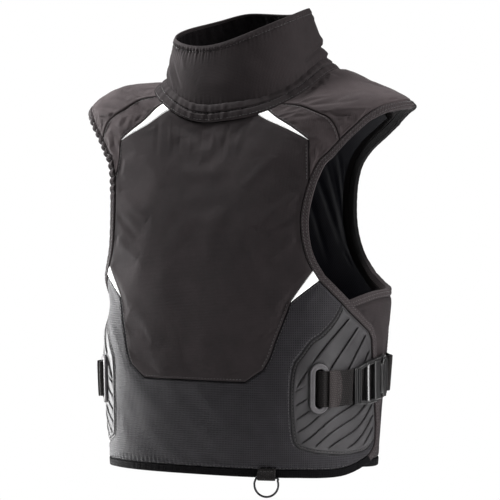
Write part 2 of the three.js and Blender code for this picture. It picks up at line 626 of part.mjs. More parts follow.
const collar = collarLayer([0, 0.33, 0.67, 1], 0, -COLLAR_SHELL);
const fleeceOuter = -COLLAR_SHELL - SEAM_GAP;
const collarLining = collarLayer([0.04, 0.5, 0.95], fleeceOuter, fleeceOuter - COLLAR_FLEECE);
const rollSection = barSection(NECK_ROLL.across, NECK_ROLL.thick, 4);
const collarRoll = loft(collarAngles.map((angle) => {
  const out = bodyNormal(angle, NECK_LEVEL);
  const up = bodySlopes(angle, NECK_LEVEL).up.normalize();
  const middle = bodyPoint(angle, NECK_LEVEL);
  return rollSection.map(([a, o]) => middle.clone().addScaledVector(up, a).addScaledVector(out, o));
}), true);

// Ring and its webbing tab, under the front hem on the wearer's left

const TAB = {
  angle: 39, width: 25, top: 14, thick: 4.4, standOff: 0.6, loop: 4.2, eye: 2.3, eyeOut: 4.8, eyeHeight: 2,
};
const RING = { wire: 3, halfBar: 14, radius: 17, drop: 11.4 };
const tabFoot = onBody([TAB.angle, 0.05], 0.5).setZ(0);
const tabAlong = bodySlopes(TAB.angle, 0.05).around.setZ(0).normalize();
const tabOut = new THREE.Vector3(tabAlong.y, -tabAlong.x, 0);
const tabFrame = new THREE.Matrix4().makeBasis(tabOut, new THREE.Vector3(0, 0, 1), tabAlong.clone().negate())
  .setPosition(tabFoot);

function ringTabGeometry() {
  const shape = new THREE.Shape();
  shape.moveTo(TAB.standOff, TAB.top);
  shape.lineTo(TAB.eyeOut - TAB.loop, TAB.eyeHeight);
  shape.absarc(TAB.eyeOut, TAB.eyeHeight, TAB.loop, Math.PI, 2 * Math.PI, false);
  shape.lineTo(TAB.standOff + TAB.thick, TAB.eyeHeight + 8);
  shape.lineTo(TAB.standOff + TAB.thick, TAB.top);
  shape.closePath();
  shape.holes.push(new THREE.Path().absarc(TAB.eyeOut, TAB.eyeHeight, TAB.eye, 0, 2 * Math.PI, true));
  const depth = { depth: TAB.width, bevelEnabled: false, curveSegments: 8 };
  const geometry = new THREE.ExtrudeGeometry(shape, depth);
  return geometry.translate(0, 0, -TAB.width / 2).applyMatrix4(tabFrame);
}

function ringGeometry() {
  const lastArc = radians(215);
  const arc = [...Array(17).keys()].map((i) => -lastArc / 2 + (lastArc * i) / 16);
  const bar = [-1, -0.5, 0.5, 1].map((share) => [share * RING.halfBar, 0]);
  const bow = arc.map((turn) => [RING.radius * Math.sin(turn), -RING.drop - RING.radius * Math.cos(turn)]);
  const outline = [...bar, ...reversed(bow)].map(([along, height]) => new THREE.Vector3(0, height, along));
  const curve = new THREE.CatmullRomCurve3(outline, true, 'centripetal');
  const steps = 26;
  const sides = 8;
  const sections = [...Array(steps).keys()].map((i) => {
    const middle = curve.getPointAt(i / steps);
    const travel = curve.getTangentAt(i / steps);
    const out = new THREE.Vector3(1, 0, 0);
    const across = travel.clone().cross(out);
    return [...Array(sides).keys()].map((k) => {
      const turn = (2 * Math.PI * k) / sides;
      return middle.clone().addScaledVector(out, (RING.wire / 2) * Math.cos(turn))
        .addScaledVector(across, (RING.wire / 2) * Math.sin(turn));
    });
  });
  return loft(sections, true).translate(TAB.eyeOut, TAB.eyeHeight, 0).applyMatrix4(tabFrame);
}

// Assembly

const vest = new THREE.Group();
vest.position.z = -SHOULDER_HEIGHT;

function add(name, geometry, color, look = {}) {
  const mesh = new THREE.Mesh(geometry, new THREE.MeshStandardMaterial({ color, roughness: 0.85, ...look }));
  mesh.name = name;
  vest.add(mesh);
  return mesh;
}

function addPair(name, geometry, color, look) {
  add(`${name}_left`, geometry, color, look);
  add(`${name}_right`, geometry, color, look).scale.x = -1;
}

add('front_panel', frontPanel, BLACK_CLOTH);
add('front_lower_panel', frontLowerPanel, NYLON);
addPair('yoke', yoke, BLACK_CLOTH);
addPair('shoulder_cap', shoulderCap, BLACK_CLOTH);
addPair('reflective_piping_upper', upperPiping, 0xf2f2f0, { roughness: 0.4 });
addPair('reflective_piping_lower', lowerPiping, 0xf2f2f0, { roughness: 0.4 });
addPair('side_panel', sidePanel, GREY_RUBBER);
add('back_panel', backPanel, BLACK_CLOTH);
add('back_lower_panel', backLowerPanel, NYLON);
addPair('back_wing', backWing, BLACK_CLOTH);
add('back_lining', backLining, 0x1a1a1c, { roughness: 0.5 });
addPair('armhole_binding', armholeBinding, BLACK_TAPE);
addPair('front_side_binding', frontSideBinding, BLACK_TAPE);
addPair('back_side_binding', backSideBinding, BLACK_TAPE);
add('hem_binding_front', hemBindingFront, NYLON);
add('hem_binding_back', hemBindingBack, NYLON);
add('collar_roll', collarRoll, BLACK_CLOTH);
add('collar', collar, BLACK_CLOTH);
add('collar_lining', collarLining, 0x1b1b1d);
addPair('slot_frame', slotFrame, GREY_RUBBER);
addPair('front_strap', frontStrap, BLACK_WEBBING);
addPair('strap_keeper', strapKeeper, BLACK_WEBBING);
addPair('buckle_male', buckleMale, BLACK_PLASTIC, { roughness: 0.4 });
addPair('buckle_female', buckleFemale, BLACK_PLASTIC, { roughness: 0.4 });
addPair('back_strap', backStrap, BLACK_WEBBING);
add('ring_tab', ringTabGeometry(), BLACK_WEBBING);
add('d_ring', ringGeometry(), 0x2a2a2c, { roughness: 0.3, metalness: 1 });

export default vest;
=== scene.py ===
"""Snow sports protective vest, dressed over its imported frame. Sizes are millimetres until a mesh is made."""

import bpy
import numpy as np
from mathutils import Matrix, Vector


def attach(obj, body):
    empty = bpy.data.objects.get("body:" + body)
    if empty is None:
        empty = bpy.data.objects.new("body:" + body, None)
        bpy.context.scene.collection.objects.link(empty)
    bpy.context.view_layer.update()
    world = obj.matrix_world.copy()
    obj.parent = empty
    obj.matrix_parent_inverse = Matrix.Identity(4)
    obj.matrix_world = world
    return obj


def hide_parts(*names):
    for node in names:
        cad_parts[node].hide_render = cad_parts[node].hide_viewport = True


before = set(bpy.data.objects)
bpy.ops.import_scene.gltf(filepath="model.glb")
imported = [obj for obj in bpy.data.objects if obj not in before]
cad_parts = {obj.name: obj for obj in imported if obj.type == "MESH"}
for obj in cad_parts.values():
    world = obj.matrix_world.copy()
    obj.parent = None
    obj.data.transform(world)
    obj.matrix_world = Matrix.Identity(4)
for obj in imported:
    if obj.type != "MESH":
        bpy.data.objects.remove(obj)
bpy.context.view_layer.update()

# Camera
# The photograph shows the front from the wearer's left, 31 degrees round and 2 degrees above level.
# A long lens keeps the sides from converging: 720 mm fill the frame at 4.3 m.
VIEW_TURN, VIEW_RISE = np.radians([31.0, 2.0])
VIEW_MIDDLE, VIEW_DISTANCE = np.array([0, 0, -0.240]), 4.3
VIEW_SHIFT_RIGHT, VIEW_SHIFT_UP = 0.0011, 0.0108
LENS, SENSOR = 215, 36
view_back = np.array([
    np.sin(VIEW_TURN) * np.cos(VIEW_RISE),
    -np.cos(VIEW_TURN) * np.cos(VIEW_RISE),
    np.sin(VIEW_RISE),
])
view_right = np.array([np.cos(VIEW_TURN), np.sin(VIEW_TURN), 0.0])
view_up = np.cross(view_back, view_right)
camera_data = bpy.data.cameras.new("camera")
camera_data.lens = LENS
camera_data.sensor_width = SENSOR
camera = bpy.data.objects.new("camera", camera_data)
camera.location = (
    VIEW_MIDDLE + VIEW_DISTANCE * view_back + VIEW_SHIFT_RIGHT * view_right + VIEW_SHIFT_UP * view_up)
camera.rotation_euler = Vector(-view_back).to_track_quat("-Z", "Y").to_euler()
bpy.context.collection.objects.link(camera)
bpy.context.scene.camera = camera

# Front panel
# The padded chest and belly panel: knit-faced softshell over foam, cut as one piece from the neck to the
# waist seam. It sinks at its seams, which are sewn down through the padding.
SHOULDER_HEIGHT = 540.0
WALL = 7.5
SEAM_DIP = 2.2
PLACE_SCALE = np.array([3.6, 115.0])  # millimetres for a degree round the torso and for a level up it
NECK_LEVEL = 7
FINE = 14  # steps here for one step of the solid

# front z, side z, back z, half width, front depth, back depth and squareness of each ring,
# from the hem to the neck
TORSO_RINGS = np.array([
    [0, 0, 14, 199, 150, 120, 2.8],
    [120, 120, 128, 206, 155, 130, 2.8],
    [245, 245, 252, 216, 146, 140, 2.7],
    [345, 350, 360, 220, 136, 142, 2.6],
    [418, 456, 455, 244, 122, 138, 2.4],
    [460, 512, 522, 261, 113, 124, 2.3],
    [483, 545, 562, 204, 108, 102, 2.5],
    [501, 560, 588, 124, 104, 82, 2.7],
])
RISE_POWER = 3.2  # how close to its sides a ring rises
NECK_TURN, NECK_TILT = 14.0, 13.0  # degrees that the neck line is turned, and its rise to the wearer's left
NECK_FROM = 5  # level from which it is turned and tilted
# angle, its spread, level, its spread and outward distance of each bulge or dent of the worn vest
WORN_SHAPE = np.array([
    [-78, 24, 1.9, 0.28, -13], [-62, 20, 3.15, 0.55, 7], [132, 18, 2.75, 0.5, -5],
])


def smooth(x, low, high):
    """Smooth step: 0 below low, 1 above high, and 3t^2 - 2t^3 between them."""
    t = np.clip((x - low) / (high - low), 0, 1)
    return t * t * (3 - 2 * t)


def catmull(before, low, high, after, t):
    """Catmull-Rom cubic from low to high, with the slopes that its neighbours give."""
    bend = (2 * before - 5 * low + 4 * high - after) * t**2 + (3 * low - before - 3 * high + after) * t**3
    return 0.5 * (2 * low + (high - before) * t + bend)


def oval_radius(angle, half_width, front_depth, back_depth, squareness):
    """Radius of a superellipse whose depth differs before and behind, at an angle from the front in
    radians."""
    depth = np.where(np.cos(angle) > 0, front_depth, back_depth)
    across = np.abs(np.sin(angle) / half_width) ** squareness
    along = np.abs(np.cos(angle) / depth) ** squareness
    return (across + along) ** (-1 / squareness)


def torso(places):
    """Torso point of each place, [degrees from the front middle to the wearer's left, level as a row of
    rings]: the ring values follow a Catmull-Rom curve up the levels, and each ring rises towards its sides.
    The neck line is turned and tilted, and bell-shaped bulges and dents are added."""
    level = places[..., 1]
    below, above = 2 * TORSO_RINGS[0] - TORSO_RINGS[1], 2 * TORSO_RINGS[-1] - TORSO_RINGS[-2]
    padded = np.vstack([below, TORSO_RINGS, above])
    row = np.clip(np.floor(level).astype(int), 0, len(TORSO_RINGS) - 2)
    values = catmull(*(padded[row + k] for k in range(4)), (level - row)[..., None])
    front_z, side_z, back_z, half_width, front_depth, back_depth, squareness = np.moveaxis(values, -1, 0)
    angle = np.radians(places[..., 0])
    miss_round = ((places[..., :1] - WORN_SHAPE[:, 0] + 180) % 360 - 180) / WORN_SHAPE[:, 1]
    miss_up = (level[..., None] - WORN_SHAPE[:, 2]) / WORN_SHAPE[:, 3]
    worn = (WORN_SHAPE[:, 4] * np.exp(-(miss_round**2) - miss_up**2)).sum(-1)
    radius = oval_radius(angle, half_width, front_depth, back_depth, squareness) + worn
    at_neck = smooth(level, NECK_FROM, NECK_LEVEL)
    turned = angle - np.radians(NECK_TURN) * at_neck
    middle_share = 1 - np.abs(np.sin(turned)) ** RISE_POWER
    z = side_z + (np.where(np.cos(turned) > 0, front_z, back_z) - side_z) * middle_share
    tilt_from = NECK_FROM + smooth(np.abs(np.sin(angle)), 0.85, 0.98)
    z = z + NECK_TILT * smooth(level, tilt_from, NECK_LEVEL) * np.sin(angle)
    return np.stack([radius * np.sin(angle), -radius * np.cos(angle), z - SHOULDER_HEIGHT], -1)


def torso_slopes(places):
    """Steps of the torso for one degree and for one level, from central differences."""
    around = 0.5 * (torso(places + [1, 0]) - torso(places - [1, 0]))
    up = 25 * (torso(places + [0, 0.02]) - torso(places - [0, 0.02]))
    return around, up


def unit(vectors):
    """Each vector divided by its length."""
    return vectors / np.linalg.norm(vectors, axis=-1, keepdims=True)


def torso_normal(places):
    """Outward direction: the cross product of the two slopes."""
    return unit(np.cross(*torso_slopes(places)))


def lay(places, out):
    """Points that stand out from the torso along its normal."""
    return torso(places) + torso_normal(places) * np.broadcast_to(out, places.shape[:-1])[..., None]


def lengths(path):
    """Length of a path from its start to each of its points."""
    return np.concatenate([[0], np.cumsum(np.linalg.norm(np.diff(path, axis=0), axis=1))])


def read_off(values, steps, wanted):
    """Columns of values that are known at steps, read off at wanted ones by straight lines."""
    return np.stack([np.interp(wanted, steps, column) for column in values.T], -1)


def evenly(path, count):
    """A path of any dimension cut anew into equal lengths."""
    length = lengths(path)
    return read_off(path, length, np.linspace(0, length[-1], count))


def curve(points):
    """Catmull-Rom curve through points, 40 samples to a span."""
    padded = np.vstack([points[:1], points, points[-1:]])
    t = np.linspace(0, 1, 41)[None, :, None]
    spans = catmull(*(padded[k : len(padded) - 3 + k, None] for k in range(4)), t)
    return np.vstack([spans[:, :-1].reshape(-1, points.shape[1]), points[-1:]])


def seam(places, steps):
    """Curve through places, in equal steps; FINE of them for each step of the solid."""
    return evenly(curve(np.asarray(places, float) * PLACE_SCALE), steps * FINE + 1) / PLACE_SCALE


def joined(*seams):
    """Seams end to end, without the doubled places."""
    return np.vstack([seams[0], *(places[1:] for places in seams[1:])])


def mirrored(places):
    """The same places on the wearer's other side."""
    return np.asarray(places) * [-1, 1]


def behind(places):
    """The other side's places, counted on round the back."""
    return np.asarray(places) * [-1, 1] + [360, 0]


def shifted(places, distance, window=FINE):
    """An edge moved sideways over the torso, to the left of its travel; the window rounds its corners."""
    index = np.arange(len(places))
    ahead = places[np.minimum(index + window, len(places) - 1)]
    back = places[np.maximum(index - window, 0)]
    reach = np.stack([np.linalg.norm(slope, axis=-1) for slope in torso_slopes(places)], -1)
    along = unit((ahead - back) * reach)
    sideways = np.stack([-along[:, 1], along[:, 0]], -1)
    return places + sideways * distance / reach


def sampled(places, shares):
    """Places at shares of a seam's steps."""
    return read_off(places, np.linspace(0, 1, len(places)), shares)


def crowded(count, crowd):
    """Shares from 0 to 1 that crowd towards both ends."""
    t = np.linspace(0, 1, count + 1)
    return t - crowd * np.sin(2 * np.pi * t) / (2 * np.pi)


CROWD = 0.85  # how much closer together the rows of a panel lie at its seams


def patch(bottom, top, left, right, columns, rows, crowd=CROWD):
    """Coons patch: the two ruled fields between opposite seams, less the field between the four corners."""
    u, v = crowded(columns, crowd), crowded(rows, crowd)
    bottom, top = sampled(bottom, u)[None], sampled(top, u)[None]
    left, right = sampled(left, v)[:, None], sampled(right, v)[:, None]
    u, v = u[None, :, None], v[:, None, None]
    low = (1 - u) * bottom[:, :1] + u * bottom[:, -1:]
    high = (1 - u) * top[:, :1] + u * top[:, -1:]
    return (1 - v) * bottom + v * top + (1 - u) * left + u * right - (1 - v) * low - v * high


def flipped(grid):
    """A grid of places on the wearer's other side, its columns turned round to keep it facing out."""
    return mirrored(grid[:, ::-1])


# Edges of the wearer's left half as places, and the solid's steps along each
SHOULDER_TIP = [94, 5.09]
EDGE_CAP = [SHOULDER_TIP, [87.5, 5.05], [82.8, 5.0], [79.5, 4.93], [75, 4.73], [72, 4.49], [68.3, 4.21]]
EDGE_YOKE = [[68.3, 4.21], [65.2, 4.01], [62.5, 3.9], [60.5, 3.74], [59.2, 3.62]]
EDGE_CHEST = [[59.2, 3.62], [56.8, 3.3], [56, 3.05], [56.5, 2.79], [57.7, 2.6], [59.6, 2.45]]
EDGE_PIPING = [[59.6, 2.45], [61.4, 2.34]]
EDGE_EAR = [[61.4, 2.34], [66.8, 2.15], [70, 2.05]]
EDGE_WING_TOP = [[70, 2.05], [73.5, 1.94], [79.2, 1.81], [84.8, 1.7], [88, 1.58]]
EDGE_WING_REAR = [[88, 1.58], [89, 1.44], [90, 1.3], [92, 1.07], [94.2, 0.82], [95.8, 0.57], [96, 0.38]]
EDGE_WING_CORNER = [[96, 0.38], [94.2, 0.24], [89, 0.13]]
EDGE_BACK_CAP = [SHOULDER_TIP, [99.5, 5.08], [106, 4.95], [110, 4.84], [114.5, 4.64], [117, 4.5]]
EDGE_BACK = [
    [117, 4.5], [123.8, 4.24], [132, 3.99], [137.2, 3.79], [139.8, 3.62], [141.5, 3.38],
    [141.4, 3.05], [139.5, 2.75], [135.8, 2.47], [130, 2.25],
]
EDGE_BACK_WING_TOP = [[130, 2.25], [122, 2.13], [108, 2.1], [94, 2.1], [82, 2.05], [69.5, 1.97]]
EDGE_BACK_WING_FRONT = [[69.5, 1.97], [71, 1.5], [77, 0.8], [84, 0.13]]
FRONT_EDGE = [
    (EDGE_CAP, 7), (EDGE_YOKE, 4), (EDGE_CHEST, 6), (EDGE_PIPING, 1), (EDGE_EAR, 3),
    (EDGE_WING_TOP, 5), (EDGE_WING_REAR, 10), (EDGE_WING_CORNER, 2),
]
BACK_EDGE = [(EDGE_BACK_CAP, 5), (EDGE_BACK, 10), (EDGE_BACK_WING_TOP, 6), (EDGE_BACK_WING_FRONT, 7)]
BINDING_WIDTH = 11.0


def cut_up(edge, pieces):
    """A dense edge cut back into its named pieces."""
    ends = np.cumsum([0] + [steps * FINE for _, steps in pieces])
    return [edge[start : end + 1] for start, end in zip(ends[:-1], ends[1:])]


front_edge = joined(*(seam(*piece) for piece in FRONT_EDGE))
back_edge = joined(*(seam(*piece) for piece in BACK_EDGE))
whole_edge = joined(front_edge[::-1], back_edge)
panel_edge = shifted(whole_edge, BINDING_WIDTH)
cap_edge, yoke_edge, chest_edge, piping_edge, ear_edge, wing_top, wing_rear, wing_corner = cut_up(
    panel_edge[: len(front_edge)][::-1], FRONT_EDGE)
back_cap_edge, back_side_edge, back_wing_top, back_wing_front = cut_up(
    panel_edge[len(front_edge) - 1 :], BACK_EDGE)

NECK_SEAM_DROP = 7.6  # distance of the seam below the neck line


def neck_edge(start, end, steps):
    """The seam under the neck roll."""
    angles = np.linspace(start, end, steps * FINE + 1)
    return shifted(np.stack([angles, np.full_like(angles, NECK_LEVEL)], -1), -NECK_SEAM_DROP)


PIPING_NECK_ANGLES = (36.0, 42.5)
UPPER_PIPING_TIP = [57.3, 4.5]
LOWER_PIPING_TIP = [48.4, 2.0]
FRONT_CORNER = [29, 1.11]
EAR_FOOT = [37, 1.25]
FRONT_SIDE = [EAR_FOOT, [39.8, 1.38], [42.2, 1.56], [45.5, 1.78], LOWER_PIPING_TIP]
neck_front = neck_edge(-PIPING_NECK_ANGLES[0], PIPING_NECK_ANGLES[0], 12)
neck_piping = neck_edge(*PIPING_NECK_ANGLES, 1)
upper_piping_inner = seam([UPPER_PIPING_TIP, [47.8, 5.25], [42.3, 5.88], neck_piping[0]], 4)
upper_piping_outer = seam([UPPER_PIPING_TIP, [49.9, 5.29], [46.0, 5.92], neck_piping[-1]], 4)
yoke_seam = seam([yoke_edge[-1], UPPER_PIPING_TIP], 3)
lower_piping_upper = seam([LOWER_PIPING_TIP, piping_edge[0]], 2)
lower_piping_lower = seam([LOWER_PIPING_TIP, piping_edge[-1]], 2)
front_corner_seam = seam([FRONT_CORNER, EAR_FOOT], 1)
front_side_seam = seam(FRONT_SIDE, 4)
front_bottom = seam([mirrored(FRONT_CORNER), FRONT_CORNER], 12)
front_side = joined(
    front_corner_seam, front_side_seam, lower_piping_upper, chest_edge[::-1], yoke_seam, upper_piping_inner)
front_seams = (front_bottom, neck_front, mirrored(front_side), front_side)


def grid_quads(rows, columns, start=0, around=False):
    """Corner numbers of a grid's quads, counter-clockwise; around joins the last column to the first."""
    index = start + np.arange(rows * columns).reshape(rows, columns)
    if around:
        index = np.hstack([index, index[:, :1]])
    return np.stack([index[:-1, :-1], index[:-1, 1:], index[1:, 1:], index[1:, :-1]], -1).reshape(-1, 4)


def make_mesh(name, points, faces, material, uv=None, sharp=None, painted_shade=None, mirror=False):
    """An object from points in millimetres and its faces, one array or a list of them, smooth but for the
    sharp ones. The UV map is in metres on the cloth; the shade painted on the points is given as 1 in a seam
    and 0 away from it; mirror puts the piece on the wearer's other side."""
    blocks = faces if isinstance(faces, list) else [faces]
    if mirror:
        points = points * [-1, 1, 1]
        blocks = [block[:, ::-1] for block in blocks]
    mesh = bpy.data.meshes.new(name)
    mesh.from_pydata((points * 0.001).tolist(), [], [face for block in blocks for face in block.tolist()])
    if sharp is not None:
        mesh.attributes.new("sharp_face", "BOOLEAN", "FACE").data.foreach_set("value", sharp)
    # Painted shade, stored as the point attribute 'seam', which darkens the materials.
    if painted_shade is not None:
        mesh.attributes.new("seam", "FLOAT", "POINT").data.foreach_set("value", painted_shade.astype(np.float32))
    if uv is not None:
        corners = np.concatenate([block.reshape(-1) for block in blocks])
        layer = mesh.uv_layers.new(name="cloth")
        layer.data.foreach_set("uv", uv[corners].astype(np.float32).reshape(-1))
    mesh.materials.append(material)
    mesh.update()
    piece = bpy.data.objects.new(name, mesh)
    bpy.context.collection.objects.link(piece)
    return piece


def dress(piece, slot, *nodes, body="vest"):
    """Attaches a piece to its body and hides the solids that it stands for. The slot is not used."""
    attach(piece, body)
    if nodes:
        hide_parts(*nodes)
    return piece


WELD_SCALE = np.array([500, 20000])  # places that agree to a five-hundredth of a degree are one
SETTLING_FRAMES, LARGEST_RISE = 20, 4.0
SEAM_SHADE = 0.85  # half the width of the shade painted along a seam
INSIDE_SHADE = 0.9  # how much shade is painted on a panel's inside


def weld(patches):
    """Grids of places that share edges, as one list of places, its quads, the sides of its outline, and the
    number that each place had before."""
    places = np.concatenate([grid.reshape(-1, 2) for grid in patches])
    starts = np.cumsum([0] + [grid.shape[0] * grid.shape[1] for grid in patches])
    quads = np.concatenate([grid_quads(*grid.shape[:2], start) for grid, start in zip(patches, starts)])
    keys = np.round(places * WELD_SCALE).astype(int)
    _, first, index = np.unique(keys, axis=0, return_index=True, return_inverse=True)
    places, quads = places[first], index.reshape(-1)[quads]
    sides = np.concatenate([quads[:, [k, (k + 1) % 4]] for k in range(4)])
    there = sides[:, 0] * len(places) + sides[:, 1]
    back = sides[:, 1] * len(places) + sides[:, 0]
    return places, quads, sides[~np.isin(there, back)], first


def nearest(points, others):
    """Distance from each point to the nearest of the others."""
    square = (points**2).sum(-1)[:, None] + (others**2).sum(-1)[None] - 2 * points @ others.T
    return np.sqrt(np.maximum(square.min(-1), 0))


def settled(points, slack, pressure):
    """A grid of cloth points with its outline sewn down, after Blender's cloth simulation: the cloth is cut
    larger by the slack and pressed outwards by its padding, so that it swells and buckles into wrinkles."""
    rows, columns = points.shape[:2]
    mesh = bpy.data.meshes.new("settling cloth")
    mesh.from_pydata((points.reshape(-1, 3) * 0.001).tolist(), [], grid_quads(rows, columns).tolist())
    piece = bpy.data.objects.new("settling cloth", mesh)
    bpy.context.collection.objects.link(piece)
    outline = np.ones((rows, columns), bool)
    outline[1:-1, 1:-1] = False
    piece.vertex_groups.new(name="sewn").add(np.flatnonzero(outline).tolist(), 1.0, "ADD")
    cloth = piece.modifiers.new("cloth", "CLOTH")
    cloth.point_cache.frame_end = SETTLING_FRAMES
    cloth.settings.vertex_group_mass = "sewn"
    cloth.settings.mass = 0.3
    cloth.settings.bending_stiffness = 0.4
    cloth.settings.shrink_min = -slack
    cloth.settings.use_pressure = True
    cloth.settings.uniform_pressure_force = pressure
    cloth.settings.effector_weights.gravity = 0
    for frame_number in range(1, SETTLING_FRAMES + 1):
        bpy.context.scene.frame_set(frame_number)
    shape = piece.evaluated_get(bpy.context.evaluated_depsgraph_get()).to_mesh()
    moved = np.empty(rows * columns * 3)
    shape.vertices.foreach_get("co", moved)
    bpy.data.objects.remove(piece)
    bpy.context.scene.frame_set(1)
    return moved.reshape(rows, columns, 3) * 1000


def drawn(values, shares):
    """Values that lie in equal steps along the first axis, at any shares of it, by Catmull-Rom curves."""
    steps = len(values) - 1
    low = np.clip(np.floor(shares * steps).astype(int), 0, steps - 1)
    padded = np.concatenate([values[:1], values, values[-1:]])
    return catmull(*(padded[low + k] for k in range(4)), (shares * steps - low)[:, None])


def wrinkles(grid, relief, slack, pressure):
    """Heights that the settled cloth of an even grid adds to a panel's relief."""
    base, normal = torso(grid), torso_normal(grid)
    outline = np.concatenate([base[0], base[-1], base[:, 0], base[:, -1]])
    distance = nearest(base.reshape(-1, 3), outline).reshape(base.shape[:2])
    start = base + normal * relief(grid, distance)[..., None]
    rise = ((settled(start, slack, pressure) - start) * normal).sum(-1)
    return np.clip(rise, -LARGEST_RISE, LARGEST_RISE)


def bell(miss, spread):
    """Bell curve: 1 where nothing is missed, and a share of exp(-1) one spread away."""
    return np.exp(-((miss / spread) ** 2))


def unsunk(places):
    """The sink of a piece that lies on the torso: nothing."""
    return np.zeros(len(places))


def padded_panel(name, patches, relief, material, sink=unsunk, rise=None, shade=None):
    """A closed sheet over welded patches, with shade painted on its inside. Its outside stands off the torso
    by relief(places, distance from the outline), its inside lies a wall below, and sink(places) lowers both. A
    panel of one patch may be given the rise of its settled cloth, on an even grid. Shade is painted along the
    seams, and shade(places, distance) paints more of it elsewhere."""
    places, quads, outline, first = weld(patches)
    base, normal = torso(places), torso_normal(places)
    distance = nearest(base, base[outline[:, 0]])
    lowered = sink(places)
    height = relief(places, distance) + lowered
    if rise is not None:
        rows, columns = patches[0].shape[:2]
        fine_rise = drawn(drawn(rise, crowded(rows - 1, CROWD)).T, crowded(columns - 1, CROWD)).T
        height = height + fine_rise.reshape(-1)[first]
    outer = base + normal * height[:, None]
    inner = base + normal * (lowered - WALL)[:, None]
    count = len(places)
    walls = np.concatenate([outline[:, ::-1], outline + count], -1)
    faces = np.concatenate([quads, quads[:, ::-1] + count, walls])
    sharp = np.arange(len(faces)) >= 2 * len(quads)
    uv = np.concatenate([places, places]) * PLACE_SCALE * 0.001
    # Painted shade: 1 in the seams, whose grooves lie in shade, and 0 away from them.
    painted_shade = bell(distance, SEAM_SHADE)
    if shade is not None:
        painted_shade = np.maximum(painted_shade, shade(places, distance))
    painted_shade = np.concatenate([painted_shade, np.full(count, INSIDE_SHADE)])
    return make_mesh(name, np.concatenate([outer, inner]), faces, material, uv, sharp, painted_shade)


SWELL_REACH = 30.0  # distance in which a panel swells from its seams towards its middle


def crowned(distance, swell=0.8, dip=SEAM_DIP, roll=1.3):
    """Section of a padded panel: a bell-shaped dip at the seams, and a slow swell towards the middle."""
    return swell * (1 - np.exp(-distance / SWELL_REACH)) - dip * bell(distance, roll)


def folds(places, table, scale=PLACE_SCALE):
    """Soft ridges: each row runs from one place to another with a width and a height in millimetres. Its
    height falls off as a bell across the run and as a half sine along it."""
    rows = np.array(table, float)
    start, run = rows[:, :2] * scale, (rows[:, 2:4] - rows[:, :2]) * scale
    offset = (places * scale)[..., None, :] - start
    share = np.clip((offset * run).sum(-1) / (run**2).sum(-1), 0, 1)
    miss = np.linalg.norm(offset - share[..., None] * run, axis=-1)
    return (rows[:, 5] * bell(miss, rows[:, 4]) * np.sin(np.pi * share) ** 0.6).sum(-1)


def drape(places, seed, height=0.7, spacing=90.0):
    """Unevenness of worn cloth: eight sine waves of fixed random heading, half to twice the spacing long."""
    chance = np.random.default_rng(seed)
    heading, phase = chance.uniform(0, 2 * np.pi, (2, 8))
    length = spacing * 2 ** chance.uniform(-1, 1, 8)
    flat = (places * PLACE_SCALE)[..., None, :]
    turn = 2 * np.pi / length * (flat[..., 0] * np.cos(heading) + flat[..., 1] * np.sin(heading)) + phase
    return height * 2 * np.sin(turn).mean(-1)


def linear(colour):
    """An sRGB hex colour as linear red, green, blue and alpha."""
    channels = np.array([int(colour[k : k + 2], 16) for k in (1, 3, 5)]) / 255
    values = np.where(channels <= 0.04045, channels / 12.92, ((channels + 0.055) / 1.055) ** 2.4)
    return (*values, 1.0)


def new_material(name):
    """An empty material and its node tree."""
    material = bpy.data.materials.new(name)
    material.use_nodes = True
    material.node_tree.nodes.clear()
    return material, material.node_tree


def add(tree, kind, inputs=None, stops=(), **settings):
    """A node with its settings, and a ramp's with its stops of position and sRGB hex colour. An input given
    as an output socket, or as a node for its first one, is linked; any other value is set."""
    node = tree.nodes.new("ShaderNode" + kind)
    for key, value in settings.items():
        setattr(node, key, value)
    for key, value in (inputs or {}).items():
        source = value.outputs[0] if isinstance(value, bpy.types.Node) else value
        if isinstance(source, bpy.types.NodeSocket):
            tree.links.new(source, node.inputs[key])
        else:
            node.inputs[key].default_value = source
    if stops:
        elements = node.color_ramp.elements
        elements[0].position, elements[1].position = stops[0][0], stops[-1][0]
        for position, _ in stops[1:-1]:
            elements.new(position)
        for element, (_, colour) in zip(elements, stops):
            element.color = linear(colour)
    return node


def finished(material, inputs):
    """A material closed by a Principled shader with these inputs."""
    shader = add(material.node_tree, "BsdfPrincipled", inputs)
    add(material.node_tree, "OutputMaterial", {"Surface": shader})
    return material


def less_in_painted_shade(tree, value):
    """A number that falls to nothing where shade is painted, by the 'seam' attribute of the points."""
    line = add(tree, "Attribute", attribute_name="seam")
    rest = add(tree, "Math", {0: 1.0, 1: line.outputs["Fac"]}, operation="SUBTRACT")
    return add(tree, "Math", {0: value, 1: rest}, operation="MULTIPLY")


MM = 1000  # a texture of this scale has a pattern of one millimetre
WAVE = 2 * np.pi / 20  # a Wave texture of this scale repeats once for each unit
# The colour of painted shade in seams, grooves and insides.
PAINTED_SHADE_BLACK = "#080708"
KNIT_SPACING = 2.0


